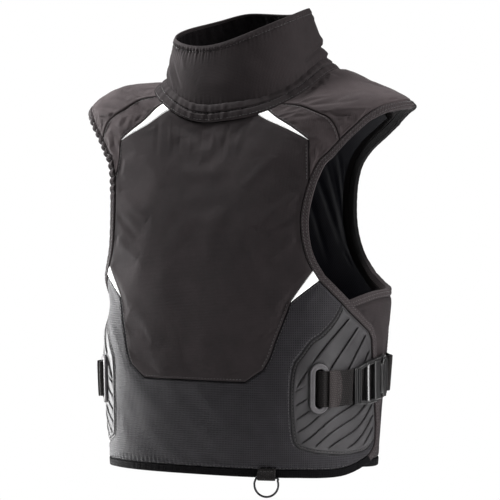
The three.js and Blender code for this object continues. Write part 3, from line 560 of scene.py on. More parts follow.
def softshell_material(name, dark, light):
    """Knit-faced polyester softshell: matt charcoal with a soft bloom at a glancing view, slightly mottled,
    with fine courses. The real courses are 0.6 mm, too fine to show, so they are drawn coarser."""
    material, tree = new_material(name)
    cloth = add(tree, "UVMap", uv_map="cloth")
    place = add(tree, "TexCoord").outputs["Object"]
    mottle = add(tree, "TexNoise", {"Vector": place, "Scale": MM / 62.5, "Detail": 5, "Roughness": 0.65})
    # Painted shade: the mottled tone falls to black where the points carry painted shade, in the seams and
    # inside.
    tone = less_in_painted_shade(tree, mottle)
    shade = add(tree, "ValToRGB", {"Fac": tone}, [(0.0, PAINTED_SHADE_BLACK), (0.3, dark), (0.7, light)])
    lines = {"Vector": cloth, "Scale": WAVE * MM / KNIT_SPACING, "Distortion": 0.6, "Detail": 1}
    courses = add(tree, "TexWave", lines, bands_direction="Y")
    wales = add(tree, "TexWave", lines, bands_direction="X")
    knit = add(tree, "Math", {0: courses.outputs["Fac"], 1: wales.outputs["Fac"]}, operation="MULTIPLY")
    fuzz = add(tree, "TexNoise", {"Vector": place, "Scale": MM / 2.38, "Detail": 2})
    height = add(tree, "Math", {0: knit, 1: fuzz}, operation="ADD")
    bump = add(tree, "Bump", {"Height": height, "Strength": 0.35, "Distance": 0.0006})
    return finished(material, {
        "Base Color": shade, "Roughness": 0.8, "Specular IOR Level": 0.1, "Sheen Weight": 0.08,
        "Sheen Roughness": 0.45, "Sheen Tint": linear("#a8a2a4"), "Normal": bump,
    })


softshell = softshell_material("knit-faced softshell", "#262223", "#302b2c")
# A darker copy of the softshell for the collar, the neck roll and the back wings: painted shade, for the shade
# these parts lie in.
shaded_softshell = softshell_material("softshell in painted shade", "#221e1f", "#2c2728")

# start angle, start level, end angle, end level, width, height of each soft fold
FRONT_FOLDS = [
    [-41, 6.0, -36, 4.3, 5, -0.6], [-33, 6.3, -28, 4.5, 5, 0.5], [-25, 6.4, -22, 4.6, 5, -0.5],
    [-17, 6.4, -13, 4.4, 6, 0.5], [-8, 6.4, -5, 4.8, 6, -0.5], [4, 6.4, 4, 4.6, 7, 0.45],
    [16, 6.4, 13, 4.5, 7, -0.5], [27, 6.0, 22, 4.4, 8, 0.5],
    [52, 3.5, 34, 3.0, 9, 1.3], [53, 3.2, 37, 2.9, 7, -1.1], [52, 2.9, 40, 2.5, 8, 1.2],
    [-52, 3.5, -34, 3.1, 9, 1.3], [-53, 3.2, -38, 2.8, 7, -1.2], [-52, 2.8, -38, 2.5, 9, 1.1],
    [-40, 1.9, -18, 1.5, 12, 0.9], [38, 1.8, 20, 1.45, 12, 0.9], [-22, 2.6, 18, 2.4, 26, -0.9],
    [-28, 4.2, 20, 4.0, 26, 1.0], [44, 4.3, 28, 3.7, 12, 1.0], [-44, 4.3, -28, 3.7, 12, 1.1],
]


def front_relief(places, distance):
    """Chest and belly: crowned between the seams, with drape folds under the collar and pulls at the
    armholes."""
    off_seam = smooth(distance, 3, 18)
    return crowned(distance) + off_seam * (folds(places, FRONT_FOLDS) + drape(places, seed=11))


def settled_panel(name, seams, counts, relief, material, sink=unsunk, slack=0.01, pressure=0.6, flip=False):
    columns, rows = counts
    grid, even = patch(*seams, columns, rows), patch(*seams, columns // 3, rows // 3, crowd=0)
    if flip:
        grid, even = flipped(grid), flipped(even)
    rise = wrinkles(even, relief, slack, pressure)
    return padded_panel(name, [grid], relief, material, sink, rise=rise)


front_panel = settled_panel(
    "front_panel_cloth", front_seams, (180, 240), front_relief, softshell, slack=0.0025, pressure=0.15)
dress(front_panel, "softshell", "front_panel")

# Sewing thread
# Every seam is topstitched with black polyester thread, lying in a shallow row of separate stitches.
# The real stitches are 3 mm by 0.5 mm; they are drawn a little thicker so that the rows show.
STITCH = {"length": 3.4, "pitch": 5.0, "radius": 0.42, "stand": 0.25}
# distances of the rows from the seams of the panels, shoulders, waist and hem
PANEL_ROW, SHOULDER_ROW, WAIST_ROW, HEM_SEAM_ROW = 3.2, 3.0, 2.8, 2.6


def thread_material(name, dark, light):
    """Twisted polyester thread: slightly shiny, with a fine slanting twist."""
    material, tree = new_material(name)
    place = add(tree, "TexCoord").outputs["Object"]
    twist = add(tree, "TexNoise", {"Vector": place, "Scale": MM / 1.11, "Detail": 1})
    shade = add(tree, "ValToRGB", {"Fac": twist}, [(0.0, dark), (1.0, light)])
    return finished(material, {"Base Color": shade, "Roughness": 0.5, "Sheen Weight": 0.2})


thread = thread_material("black polyester thread", "#1c1a1b", "#3c393a")


def stitch_arrays(path, normal):
    """Stitches along a path: each is a short rod of four six-sided rings, thin at its ends, which dip into
    the cloth. All of them come from one template, carried along the path by its tangent and normal."""
    length = lengths(path)
    middles = np.arange(STITCH["pitch"], length[-1] - STITCH["pitch"] / 2, STITCH["pitch"])
    centre = read_off(path, length, middles)
    travel = unit(read_off(path, length, middles + 1) - read_off(path, length, middles - 1))
    out = unit(read_off(normal, length, middles))
    side = unit(np.cross(out, travel))
    stations = np.array([-0.5, -0.3, 0.3, 0.5]) * STITCH["length"]
    radii = np.array([0.3, 1, 1, 0.3]) * STITCH["radius"]
    dips = np.array([-0.5, 0, 0, -0.5])
    turns = np.arange(6) * np.pi / 3
    across = radii[:, None] * np.cos(turns)
    height = radii[:, None] * np.sin(turns) + dips[:, None]
    points = (
        centre[:, None, None]
        + travel[:, None, None] * stations[:, None, None]
        + side[:, None, None] * across[..., None]
        + out[:, None, None] * height[..., None]
    )
    one = grid_quads(len(stations), len(turns), around=True)[:, ::-1]
    starts = across.size * np.arange(len(centre))
    faces = (one[None] + starts[:, None, None]).reshape(-1, 4)
    return points.reshape(-1, 3), faces


def stitching(name, rows, slot="binding_tape", mirror=False):
    """One mesh of several stitch rows, each a path and its normals."""
    arrays = [stitch_arrays(path, normal) for path, normal in rows]
    starts = np.cumsum([0] + [len(points) for points, _ in arrays])
    points = np.concatenate([points for points, _ in arrays])
    faces = np.concatenate([faces + start for (_, faces), start in zip(arrays, starts)])
    return dress(make_mesh(name, points, faces, thread, mirror=mirror), slot)


def seam_row(places, distance, relief, sink=unsunk):
    """A stitch row at a distance to the left of a seam, on the panel whose relief and sink are given."""
    row = shifted(places, distance)
    height = relief(row, np.full(len(row), abs(distance))) + sink(row)
    return lay(row, height + STITCH["stand"]), torso_normal(row)


def row_pair(places, distance, relief, other=mirrored, sink=unsunk):
    """The stitch rows along a seam and along its mirror image."""
    return [seam_row(places, distance, relief, sink), seam_row(other(places), -distance, relief, sink)]


stitching("front_panel_stitching", [
    *row_pair(front_side[FINE : 5 * FINE], PANEL_ROW, front_relief),
    seam_row(front_bottom, PANEL_ROW, front_relief),
    *row_pair(yoke_seam, PANEL_ROW, front_relief),
])

# Lower front panel
# Waist band with an ear up each side and a tongue under each side panel: a coarse plain-woven nylon over
# thin foam, sewn to the front panel above and turned into the hem below.
HEM_LEVEL = 0.1
SIDE_PANEL_KNEE = [48.2, 1.2]
SIDE_PANEL_FOOT = [50.8, 0.37]
SIDE_PANEL_UPPER = [SIDE_PANEL_KNEE, [49.5, 1.33], [52, 1.42], [55.8, 1.56], [59.8, 1.64], [64.8, 1.8]]
SIDE_PANEL_LOWER = [SIDE_PANEL_FOOT, [49.2, 0.46], [48.1, 0.7], [47.8, 1.0], SIDE_PANEL_KNEE]
SIDE_PANEL_BOTTOM = [SIDE_PANEL_FOOT, [53.2, 0.34], [60.5, 0.29], [72.8, 0.26], [86, 0.29]]
side_panel_upper = seam([*SIDE_PANEL_UPPER, wing_top[0]], 6)
side_panel_lower = seam(SIDE_PANEL_LOWER, 4)
side_panel_bottom = seam([*SIDE_PANEL_BOTTOM, wing_rear[-1]], 5)
ear_foot = seam([EAR_FOOT, SIDE_PANEL_KNEE], 3)
tongue_start = [SIDE_PANEL_FOOT[0], HEM_LEVEL]
tongue_rise = seam([tongue_start, SIDE_PANEL_FOOT], 2)
tongue_bottom = seam([tongue_start, [70, HEM_LEVEL], wing_corner[-1]], 5)
half_top = joined(front_corner_seam, ear_foot)
waist_top = joined(mirrored(half_top)[::-1], front_bottom, half_top)
waist_bottom = seam([mirrored(tongue_start), tongue_start], (len(waist_top) - 1) // FINE)
waist_side = joined(tongue_rise, side_panel_lower)
ear_side = joined(front_side_seam, lower_piping_lower)


def even_patch(bottom, top, left, right):
    """A patch whose grid meets every step of its seams, so that its neighbours can be welded to it."""
    return patch(bottom, top, left, right, len(bottom) - 1, len(left) - 1, crowd=0)


waist_grid = even_patch(waist_bottom, waist_top, mirrored(waist_side), waist_side)
ear_grid = even_patch(ear_foot, ear_edge, ear_side, side_panel_upper)
tongue_grid = even_patch(tongue_bottom, side_panel_bottom, tongue_rise, wing_corner[::-1])

WAIST_FOLDS = [
    [-45, 0.9, -40, 0.25, 8, 0.5], [-38, 0.95, -30, 0.5, 10, -0.5], [-20, 0.9, 4, 0.55, 16, 0.9],
    [10, 0.5, 30, 0.85, 14, -0.8], [40, 0.9, 46, 0.5, 6, 1.1], [52, 1.9, 60, 2.2, 6, 0.9],
    [44, 1.4, 56, 1.75, 7, -0.9], [-44, 1.4, -56, 1.75, 7, 1.0], [-52, 1.9, -61, 2.2, 6, -0.8],
]
HEM_ROW = 0.115  # level of the stitch row above the hem
PUCKER_REACH, PUCKER_SPACING = 7.0, 9.0


def waist_relief(places, distance):
    """Waist cloth: thinner roll at its seams, slack folds, and small puckers along the hem's stitch row."""
    near_hem = bell((places[..., 1] - HEM_ROW) * PLACE_SCALE[1], PUCKER_REACH)
    puckers = 0.3 * near_hem * np.sin(2 * np.pi * places[..., 0] * PLACE_SCALE[0] / PUCKER_SPACING)
    slack = folds(places, WAIST_FOLDS) + drape(places, seed=23, height=0.8, spacing=70)
    crown = crowned(distance, swell=0.5, dip=1.8, roll=2.4)
    return crown + smooth(distance, 2, 14) * slack + puckers * smooth(distance, 0, 3)


WEAVE_SPACING = 3.0


def nylon_material(name, dark, light, shine=1.0):
    """Coarse plain-woven nylon: matt yarns over and under each other, with a dull shine at a glancing view.
    The real yarns are 1 mm apart, finer than a pixel, so the weave is drawn coarser."""
    material, tree = new_material(name)
    cloth = add(tree, "UVMap", uv_map="cloth")
    place = add(tree, "TexCoord").outputs["Object"]
    yarns = {"Vector": cloth, "Scale": WAVE * MM / WEAVE_SPACING, "Distortion": 0.8, "Detail": 1}
    warp = add(tree, "TexWave", yarns, bands_direction="X")
    weft = add(tree, "TexWave", yarns, bands_direction="Y")
    weave = add(tree, "Math", {0: warp.outputs["Fac"], 1: weft.outputs["Fac"]}, operation="MAXIMUM")
    mottle = add(tree, "TexNoise", {"Vector": place, "Scale": MM / 16.67, "Detail": 4})
    uneven = add(tree, "Math", {0: mottle, 1: 0.3, 2: 0.35}, operation="MULTIPLY_ADD")
    mixed = add(tree, "Math", {0: weave, 1: uneven}, operation="MULTIPLY")
    # Painted shade: the tone falls to black where the points carry painted shade, in the seams and inside.
    tone = less_in_painted_shade(tree, mixed)
    shade = add(tree, "ValToRGB", {"Fac": tone}, [(0.0, PAINTED_SHADE_BLACK), (0.1, dark), (0.6, light)])
    bump = add(tree, "Bump", {"Height": weave, "Strength": 0.5, "Distance": 0.0008})
    return finished(material, {
        "Base Color": shade, "Roughness": 0.6, "Specular IOR Level": 0.18 * shine,
        "Sheen Weight": 0.08 * shine, "Sheen Roughness": 0.35, "Sheen Tint": linear("#b4b3b8"),
        "Normal": bump,
    })


nylon = nylon_material("plain-woven nylon", "#050406", "#302e32")
front_lower_panel = padded_panel(
    "front_lower_cloth", [waist_grid, ear_grid, tongue_grid, flipped(ear_grid), flipped(tongue_grid)],
    waist_relief, nylon)
dress(front_lower_panel, "woven_nylon", "front_lower_panel")
hem_top = joined(mirrored(tongue_bottom)[::-1], waist_bottom, tongue_bottom)
stitching("front_lower_stitching", [
    seam_row(hem_top, HEM_SEAM_ROW, waist_relief),
    *row_pair(ear_side, -WAIST_ROW, waist_relief),
    *row_pair(side_panel_upper, WAIST_ROW, waist_relief),
    *row_pair(side_panel_lower, WAIST_ROW, waist_relief),
])

# Yokes
# A small softshell piece on each side between the neck, the reflective wedge and the shoulder cap.
# It carries the pull of the armhole, so short wrinkles run across it.
NECK_YOKE_END, NECK_CAP_END = 51.0, 128.0
CAP_SEAM = [[66, 4.6], [65, 4.88], [63.5, 5.14], [60, 5.57], [55.5, 6.34]]
neck_yoke = neck_edge(PIPING_NECK_ANGLES[1], NECK_YOKE_END, 4)
cap_seam = seam([cap_edge[-1], *CAP_SEAM, neck_yoke[-1]], 7)
yoke_inner = joined(yoke_seam, upper_piping_outer)
yoke_seams = (yoke_edge[::-1], neck_yoke, yoke_inner, cap_seam)
YOKE_FOLDS = [
    [-59, 5.32, -59.2, 4.88, 3.6, 0.9], [-56.9, 5.4, -57.4, 4.9, 3.4, -0.8],
    [-54.5, 5.55, -55.3, 4.75, 4, 1.1], [-52, 5.7, -53.3, 5.2, 3.6, 0.8],
    [-50.6, 5.7, -51.8, 5.3, 3, -0.7], [-48, 6.15, -49.9, 5.5, 3.8, 0.9],
    [-63.4, 4.5, -60.6, 3.8, 4.4, 1.3], [-61.6, 4.7, -59.4, 4.1, 3.6, -0.9],
    [59, 4.6, 65, 4.15, 5, 0.9], [59, 4.35, 63, 4.0, 4, -0.8], [52, 5.6, 58, 5.3, 6, -0.6],
]


def yoke_relief(places, distance):
    """Yoke: crowned, with short upright wrinkles, deepest on the wearer's right."""
    slack = folds(places, YOKE_FOLDS) + drape(places, seed=31, height=0.4, spacing=60)
    return crowned(distance, swell=0.8) + smooth(distance, 1.5, 7) * slack


# A warmer, lighter copy of the softshell for the yokes and shoulder caps: the warm tone is the cloth's own,
# and part of the lightness is painted light, which the shoulders catch from above.
warm_softshell_with_painted_light = softshell_material("warm softshell with painted light", "#363031", "#433c3d")
SIDES = (("left", False), ("right", True))  # the wearer's side, and whether it is the mirrored one
for side, flip in SIDES:
    yoke = settled_panel(
        f"yoke_cloth_{side}", yoke_seams, (64, 110), yoke_relief, warm_softshell_with_painted_light, slack=0.006, flip=flip)
    dress(yoke, "softshell", f"yoke_{side}")

# Shoulder caps
# A softshell cap over each shoulder, from the front cap seam to the back one and out to the armhole.
# It is cut wide, so it stands a little proud over its foam.
BACK_CAP_SEAM = [[119, 5.1], [122, 5.8]]
neck_cap = neck_edge(NECK_YOKE_END, NECK_CAP_END, 12)
neck_back = neck_edge(NECK_CAP_END, 360 - NECK_CAP_END, 12)
back_cap_seam = seam([back_cap_edge[-1], *BACK_CAP_SEAM, neck_back[0]], 7)
cap_bottom = joined(cap_edge[::-1], back_cap_edge)
cap_seams = (cap_bottom, neck_cap, cap_seam, back_cap_seam)
CAP_FOLDS = [
    [66, 5.1, 69, 5.0, 3, -1.6], [68, 5.3, 80, 5.02, 6, 1.0], [62, 5.9, 74, 5.5, 9, -1.0],
    [58, 6.4, 70, 6.1, 8, 0.9], [90, 6.3, 88, 5.4, 12, 1.0], [105, 6.4, 104, 5.3, 11, -0.9],
    [112, 5.3, 117, 4.8, 6, 1.0], [76, 6.5, 80, 5.6, 11, -0.8],
]


def cap_relief(places, distance):
    """Shoulder cap: a fuller crown, with folds from the neck out to the shoulder point."""
    slack = folds(np.abs(places), CAP_FOLDS) + drape(places, seed=41, height=0.6, spacing=70)
    return crowned(distance, swell=1.6) + smooth(distance, 2, 12) * slack


for side, flip in SIDES:
    cap = settled_panel(
        f"shoulder_cap_cloth_{side}", cap_seams, (150, 120), cap_relief, warm_softshell_with_painted_light, flip=flip)
    dress(cap, "softshell", f"shoulder_cap_{side}")
stitching("shoulder_stitching", [
    *row_pair(cap_seam, SHOULDER_ROW, yoke_relief),
    *row_pair(upper_piping_outer, -SHOULDER_ROW, yoke_relief),
    *row_pair(back_cap_seam, SHOULDER_ROW, cap_relief),
])

# Reflective piping
# Four narrow wedges of silver-white reflective film on cloth, sewn into the seams beside the neck and
# under the armholes, each running out to a point.


def film_material(name, colour, worn):
    """Reflective film of glass beads: silver-white with faint handling marks. It sends light back where it
    came from, so it stays bright at every angle; a little emission stands for that."""
    material, tree = new_material(name)
    place = add(tree, "TexCoord").outputs["Object"]
    marks = add(tree, "TexNoise", {"Vector": place, "Scale": MM / 14.3, "Detail": 5})
    shade = add(tree, "ValToRGB", {"Fac": marks}, [(0.28, worn), (0.5, colour)])
    beads = add(tree, "TexVoronoi", {"Vector": place, "Scale": MM / 1.43})
    bump = add(tree, "Bump", {"Height": beads.outputs["Distance"], "Strength": 0.15, "Distance": 0.0003})
    return finished(material, {
        "Base Color": shade, "Roughness": 0.42, "Specular IOR Level": 0.6,
        "Emission Color": linear("#ffffff"), "Emission Strength": 0.38, "Normal": bump,
    })


white_film = film_material("silver-white reflective film", "#f4f4f2", "#dcdcda")


PIPING_STAND, PIPING_TURN, PIPING_EDGE = 0.4, 1.4, 0.7


def piping_relief(places, distance):
    """Piping: nearly flush, its edges turned down into the seam."""
    return PIPING_STAND - PIPING_TURN * bell(distance, PIPING_EDGE)


def wedge(low, high):
    """Grid between two seams that start at one point, from a hair's breadth beyond it."""
    shares = np.linspace(0.006, 1, 80)
    across = crowded(14, 0.6)[:, None, None]
    return (1 - across) * sampled(low, shares)[None] + across * sampled(high, shares)[None]


upper_wedge = wedge(upper_piping_inner, upper_piping_outer)[:, ::-1]
lower_wedge = wedge(lower_piping_lower, lower_piping_upper)
for part, grid in (("upper", upper_wedge), ("lower", lower_wedge)):
    for side, wedge_grid in (("left", grid), ("right", flipped(grid))):
        piping = padded_panel(f"{part}_piping_{side}", [wedge_grid], piping_relief, white_film)
        dress(piping, "reflective_film", f"reflective_piping_{part}_{side}")

# Side panels
# A moulded rubber guard on each side of the waist, with slanting embossed ribs. It is sewn into the nylon
# round its edge, and its rear edge is free. A slot lets the side strap through.
MM_PER_DEGREE, MM_PER_LEVEL = 3.6, 122.0
STRAP_HEIGHT, STRAP_RISE, STRAP_RISE_ANGLES = 127.0, 12.0, (66, 100)
SLOT_ANGLE, SLOT_WIDTH, SLOT_HEIGHT = 58.8, 26.0, 68.0
SLOT_HOLE_WIDTH, SLOT_HOLE_HEIGHT = 12.0, 53.0
STEEP_RIBS, FLAT_RIBS, BORDER = 24.0, 17.0, 3.4  # rib spacings above and below the strap, border width
STEEP_RISE, FLAT_RISE, STEEP_CUT, FLAT_CUT, CUT_WIDTH = 2.7, 2.2, 0.8, 0.6, 1.7
SLOT_DEPTH = 9.5
side_grid = patch(
    side_panel_bottom, wing_top, joined(side_panel_lower, side_panel_upper), wing_rear[::-1], 170, 220, 0.3)


def stadium_distance(along, across, width, height):
    """Distance outside a stadium's outline, negative within it: a straight spine with a round of half the
    width."""
    spine = height / 2 - width / 2
    return np.hypot(along, np.maximum(np.abs(across) - spine, 0)) - width / 2


def strap_frame(places):
    """Places as millimetres along a strap, and up from its middle."""
    angle = np.abs(places[..., 0])
    rise = STRAP_RISE * smooth(angle, *STRAP_RISE_ANGLES)
    return angle * MM_PER_DEGREE, places[..., 1] * MM_PER_LEVEL - STRAP_HEIGHT - rise


def grooves(across, spacing, width):
    """Narrow bell-shaped grooves at every spacing."""
    miss = (across + spacing / 2) % spacing - spacing / 2
    return bell(miss, width)


def ramped(across, spacing):
    """A sawtooth from -0.5 to 0.5 in every spacing."""
    return (across / spacing) % 1 - 0.5


def rib_lines(places):
    """Distances across the guard's two sets of ribs, steep above the strap and flat below it, the share of
    the upper set, and the distance from the slot's ring."""
    along, up = strap_frame(places)
    far = along - SLOT_ANGLE * MM_PER_DEGREE
    steep = up * 0.64 - far * 0.77 - 5 * np.sin(up / 30)
    flat = up * 0.86 - far * 0.5 - 4 * np.sin(far / 17)
    return steep, flat, smooth(up, -4, 8), stadium_distance(far, up, SLOT_WIDTH, SLOT_HEIGHT)


def rib_relief(places, distance):
    """Side guard: long steep ribs above the strap, closer and flatter ones below it, each rib a slope that
    ends in a narrow groove; a sewn border, and the slot."""
    steep, flat, above, from_slot = rib_lines(places)
    steep_rib = STEEP_RISE * ramped(steep, STEEP_RIBS) - STEEP_CUT * grooves(steep, STEEP_RIBS, CUT_WIDTH)
    flat_rib = FLAT_RISE * ramped(flat, FLAT_RIBS) - FLAT_CUT * grooves(flat, FLAT_RIBS, CUT_WIDTH)
    ribs = above * steep_rib + (1 - above) * flat_rib
    clear = smooth(distance, 6, 11) * smooth(from_slot, 1, 6)
    border = 1.3 * bell(distance - BORDER, 1.1)
    along, up = strap_frame(places)
    from_hole = stadium_distance(along - SLOT_ANGLE * MM_PER_DEGREE, up, SLOT_HOLE_WIDTH, SLOT_HOLE_HEIGHT)
    hole = SLOT_DEPTH * smooth(-from_hole, -0.6, 0.8)
    return crowned(distance, swell=1.2, roll=2.2) + clear * ribs - border - hole


def rib_shade(places, distance):
    """Painted shade in the grooves, along the sewn border and round the slot's ring."""
    steep, flat, above, from_slot = rib_lines(places)
    lines = above * grooves(steep, STEEP_RIBS, 1.1) + (1 - above) * grooves(flat, FLAT_RIBS, 0.9)
    lines = (0.12 + 0.14 * above) * lines * smooth(distance, 6, 11) * smooth(from_slot, 1, 6)
    border = 0.8 * bell(distance - BORDER, 0.9)
    ring = 0.95 * bell(from_slot - 0.6, 1.3)
    return np.maximum(np.maximum(lines, border), ring)


def rubber_material(name, dark, light):
    """Moulded synthetic rubber: mid grey, satin, and a fine leathery grain from the mould. A random bloom is
    multiplied by the mesh's pointiness, which paints a highlight on the ridges and shade in the hollows."""
    material, tree = new_material(name)
    place = add(tree, "TexCoord").outputs["Object"]
    edge = add(tree, "NewGeometry")
    grain = add(tree, "TexNoise", {"Vector": place, "Scale": MM / 1.92, "Detail": 3})
    bloom = add(tree, "TexNoise", {"Vector": place, "Scale": MM / 45.5, "Detail": 4})
    # Painted highlight and shade: convex ridges are lightened and hollows darkened by the pointiness.
    worn = add(tree, "Math", {0: bloom, 1: edge.outputs["Pointiness"]}, operation="MULTIPLY")
    # Painted shade: the tone falls to black in the seams, the rib grooves, the border and round the ring.
    tone = less_in_painted_shade(tree, worn)
    shade = add(tree, "ValToRGB", {"Fac": tone}, [(0.0, PAINTED_SHADE_BLACK), (0.16, dark), (0.34, light)])
    bump = add(tree, "Bump", {"Height": grain, "Strength": 0.25, "Distance": 0.0005})
    return finished(material, {
        "Base Color": shade, "Roughness": 0.55, "Specular IOR Level": 0.4, "Normal": bump,
    })


rubber = rubber_material("moulded grey rubber", "#1f1d1f", "#343234")
side_border = joined(side_panel_bottom[::-1], side_panel_lower, side_panel_upper)
for side, mirror in SIDES:
    grid = flipped(side_grid) if mirror else side_grid
    guard = padded_panel(f"side_guard_{side}", [grid], rib_relief, rubber, shade=rib_shade)
    dress(guard, "moulded_rubber", f"side_panel_{side}")
    border = mirrored(side_border) if mirror else side_border
    stitching(f"side_guard_stitching_{side}", [seam_row(border, BORDER if mirror else -BORDER, rib_relief)])

# Back
# The padded softshell back, its nylon waist band, and a softshell wing on each side that passes forward
# under the side guard and gives the vest its girth.
WING_SINK, WING_ROW = 10.5, 3.0
BACK_SIDE_FOOT = [112, 1.1]
back_hem_foot = [BACK_SIDE_FOOT[0], HEM_LEVEL]
back_side_seam = seam([BACK_SIDE_FOOT, [116, 1.7], back_wing_top[0]], 4)
back_bottom = seam([BACK_SIDE_FOOT, behind(BACK_SIDE_FOOT)], 12)
back_side = joined(back_side_seam, back_side_edge[::-1], back_cap_seam)
back_seams = (back_bottom, neck_back, back_side, behind(back_side))
back_side_low = seam([back_hem_foot, BACK_SIDE_FOOT], 3)
back_hem_top = seam([back_hem_foot, behind(back_hem_foot)], 12)
back_lower_grid = patch(back_hem_top, back_bottom, back_side_low, behind(back_side_low), 150, 60)
back_wing_bottom = seam([back_wing_front[-1], back_hem_foot], 6)
back_wing_seams = (
    back_wing_bottom, back_wing_top[::-1], back_wing_front[::-1], joined(back_side_low, back_side_seam))
BACK_FOLDS = [
    [140, 6.2, 160, 4.6, 14, 1.0], [220, 6.2, 200, 4.6, 14, -1.0], [180, 6.3, 180, 4.2, 16, 0.9],
    [146, 3.4, 164, 3.0, 10, 1.2], [214, 3.3, 196, 2.9, 10, 1.2], [150, 2.2, 210, 2.1, 24, -1.0],
    [128, 1.9, 150, 1.5, 10, 1.0], [232, 1.9, 210, 1.5, 10, 1.0], [160, 1.5, 200, 1.6, 18, 0.8],
]
WING_FOLDS = [
    [90, 1.9, 104, 1.2, 8, 1.0], [98, 2.0, 110, 1.4, 8, -0.9], [86, 1.3, 100, 0.5, 9, 0.9],
    [100, 0.9, 108, 0.3, 8, -0.8],
]


def wing_sink(places):
    """How far the back's sides lie under the front ones: nothing at the spine, all of it at the wings."""
    round_from_spine = np.abs(np.abs(places[..., 0]) - 180)
    return np.where(places[..., 1] > 2.6, 0, -WING_SINK * smooth(round_from_spine, 52, 76))


def back_relief(places, distance):
    """Back panel: a broad crown over the spine foam, with slack folds."""
    slack = folds(places, BACK_FOLDS) + drape(places, seed=53)
    return crowned(distance, swell=1.2) + smooth(distance, 3, 18) * slack


def wing_relief(places, distance):
    """Wing cloth: flat, with pulls that slant down from the armhole."""
    left_side = np.stack([180 - np.abs(np.abs(places[..., 0]) - 180), places[..., 1]], -1)
    slack = folds(left_side, WING_FOLDS) + drape(places, seed=61, height=0.6, spacing=60)
    return crowned(distance, swell=0.5, dip=2.0, roll=3.0) + smooth(distance, 2, 12) * slack


back_panel = settled_panel(
    "back_panel_cloth", back_seams, (170, 220), back_relief, softshell, wing_sink, slack=0.006)
dress(back_panel, "softshell", "back_panel")
back_lower_panel = padded_panel("back_lower_cloth", [back_lower_grid], waist_relief, nylon, wing_sink)
dress(back_lower_panel, "woven_nylon", "back_lower_panel")
for side, flip in SIDES:
    wing = settled_panel(
        f"back_wing_cloth_{side}", back_wing_seams, (90, 100), wing_relief, shaded_softshell, wing_sink, flip=flip)
    dress(wing, "softshell", f"back_wing_{side}")
stitching("back_stitching", [
    seam_row(back_bottom, PANEL_ROW, back_relief, wing_sink),
    *row_pair(back_side_seam, -PANEL_ROW, back_relief, behind, wing_sink),
    seam_row(back_hem_top, HEM_SEAM_ROW, waist_relief, wing_sink),
    *row_pair(back_side_low, WING_ROW, wing_relief, behind, wing_sink),
])

# Back lining
# Black polyester satin that hangs inside the back between its seams, loose enough to fall in long slanting
# folds, which show through the armhole.
LINING_GAP, LINING_INSET, LINING_SLACK = 4.4, 6.0, 0.6
LINING_FOLDS = [
    [158.7, 3.9, 144, 2.6, 6, -2.6], [149.6, 4.0, 145, 2.9, 5, -2.2], [166, 3.7, 148, 2.6, 7, -2.6],
    [155.2, 3.9, 145.5, 2.8, 4, -1.4], [145.5, 3.8, 144.5, 3.0, 4, -1.8], [172, 3.4, 156, 2.3, 7, -2.4],
    [143, 2.75, 139, 2.55, 3, -1.6], [144.5, 2.62, 140, 2.42, 3, -1.6], [146, 2.5, 141, 2.3, 3, -1.6],
    [150, 1.8, 180, 1.7, 12, -2.2], [135, 5.4, 160, 4.4, 8, -2.4],
]


SATIN_SPACING = 2.4


def satin_material(name, dark, light):
    """Polyester satin: black, with a soft shine that follows the folds and hardly shows its weave."""
    material, tree = new_material(name)
    cloth = add(tree, "UVMap", uv_map="cloth")
    weave = add(tree, "TexWave", {
        "Vector": cloth, "Scale": WAVE * MM / SATIN_SPACING, "Distortion": 1.5, "Detail": 2,
    }, bands_direction="DIAGONAL").outputs["Fac"]
    shade = add(tree, "ValToRGB", {"Fac": weave}, [(0.0, dark), (1.0, light)])
    bump = add(tree, "Bump", {"Height": weave, "Strength": 0.12, "Distance": 0.0004})
    return finished(material, {
        "Base Color": shade, "Roughness": 0.6, "Specular IOR Level": 0.03, "Normal": bump,
    })


satin = satin_material("black polyester satin", "#0a0a0f", "#141419")
lining_side = shifted(back_side, -LINING_INSET)
lining_grid = patch(
    shifted(back_bottom, LINING_INSET), shifted(neck_back, -LINING_INSET), lining_side, behind(lining_side),
    130, 170, crowd=0)
lining_places = lining_grid.reshape(-1, 2)
lining_left = np.stack([180 - np.abs(lining_places[:, 0] - 180), lining_places[:, 1]], -1)
lining_slack = 0.55 * folds(lining_left, LINING_FOLDS) - LINING_SLACK
lining_slack = lining_slack + drape(lining_places, seed=71, height=0.5, spacing=80)
lining_points = lay(lining_places, wing_sink(lining_places) - WALL - LINING_GAP + np.minimum(lining_slack, 0))
lining_quads = grid_quads(*lining_grid.shape[:2])
lining = make_mesh(
    "back_lining_cloth", lining_points, lining_quads[:, ::-1], satin, lining_places * PLACE_SCALE * 0.001)
dress(lining, "satin_lining", "back_lining")

# Edge bindings
# A folded woven tape sewn over the raw edges all round each armhole and down both edges of the side opening,
# with two stitch rows. It is a little elastic, so it puckers, and bunches up in lobes at the front of the
# wearer's right armhole.
BINDING_THICK, BINDING_STAND = 8.6, 0.7
BINDING_ROWS = (3.0, 8.0)


def oblong(count, width, thick, power):
    """A closed section, [across, out]: a superellipse of a width and a thickness, from its underside on."""
    turn = np.linspace(-np.pi / 2, 1.5 * np.pi, count, endpoint=False)
    cosine, sine = np.cos(turn), np.sin(turn)
    across = width / 2 * np.sign(cosine) * np.abs(cosine) ** (2 / power)
    out = thick / 2 * np.sign(sine) * np.abs(sine) ** (2 / power)
    return np.stack([across, out], -1)


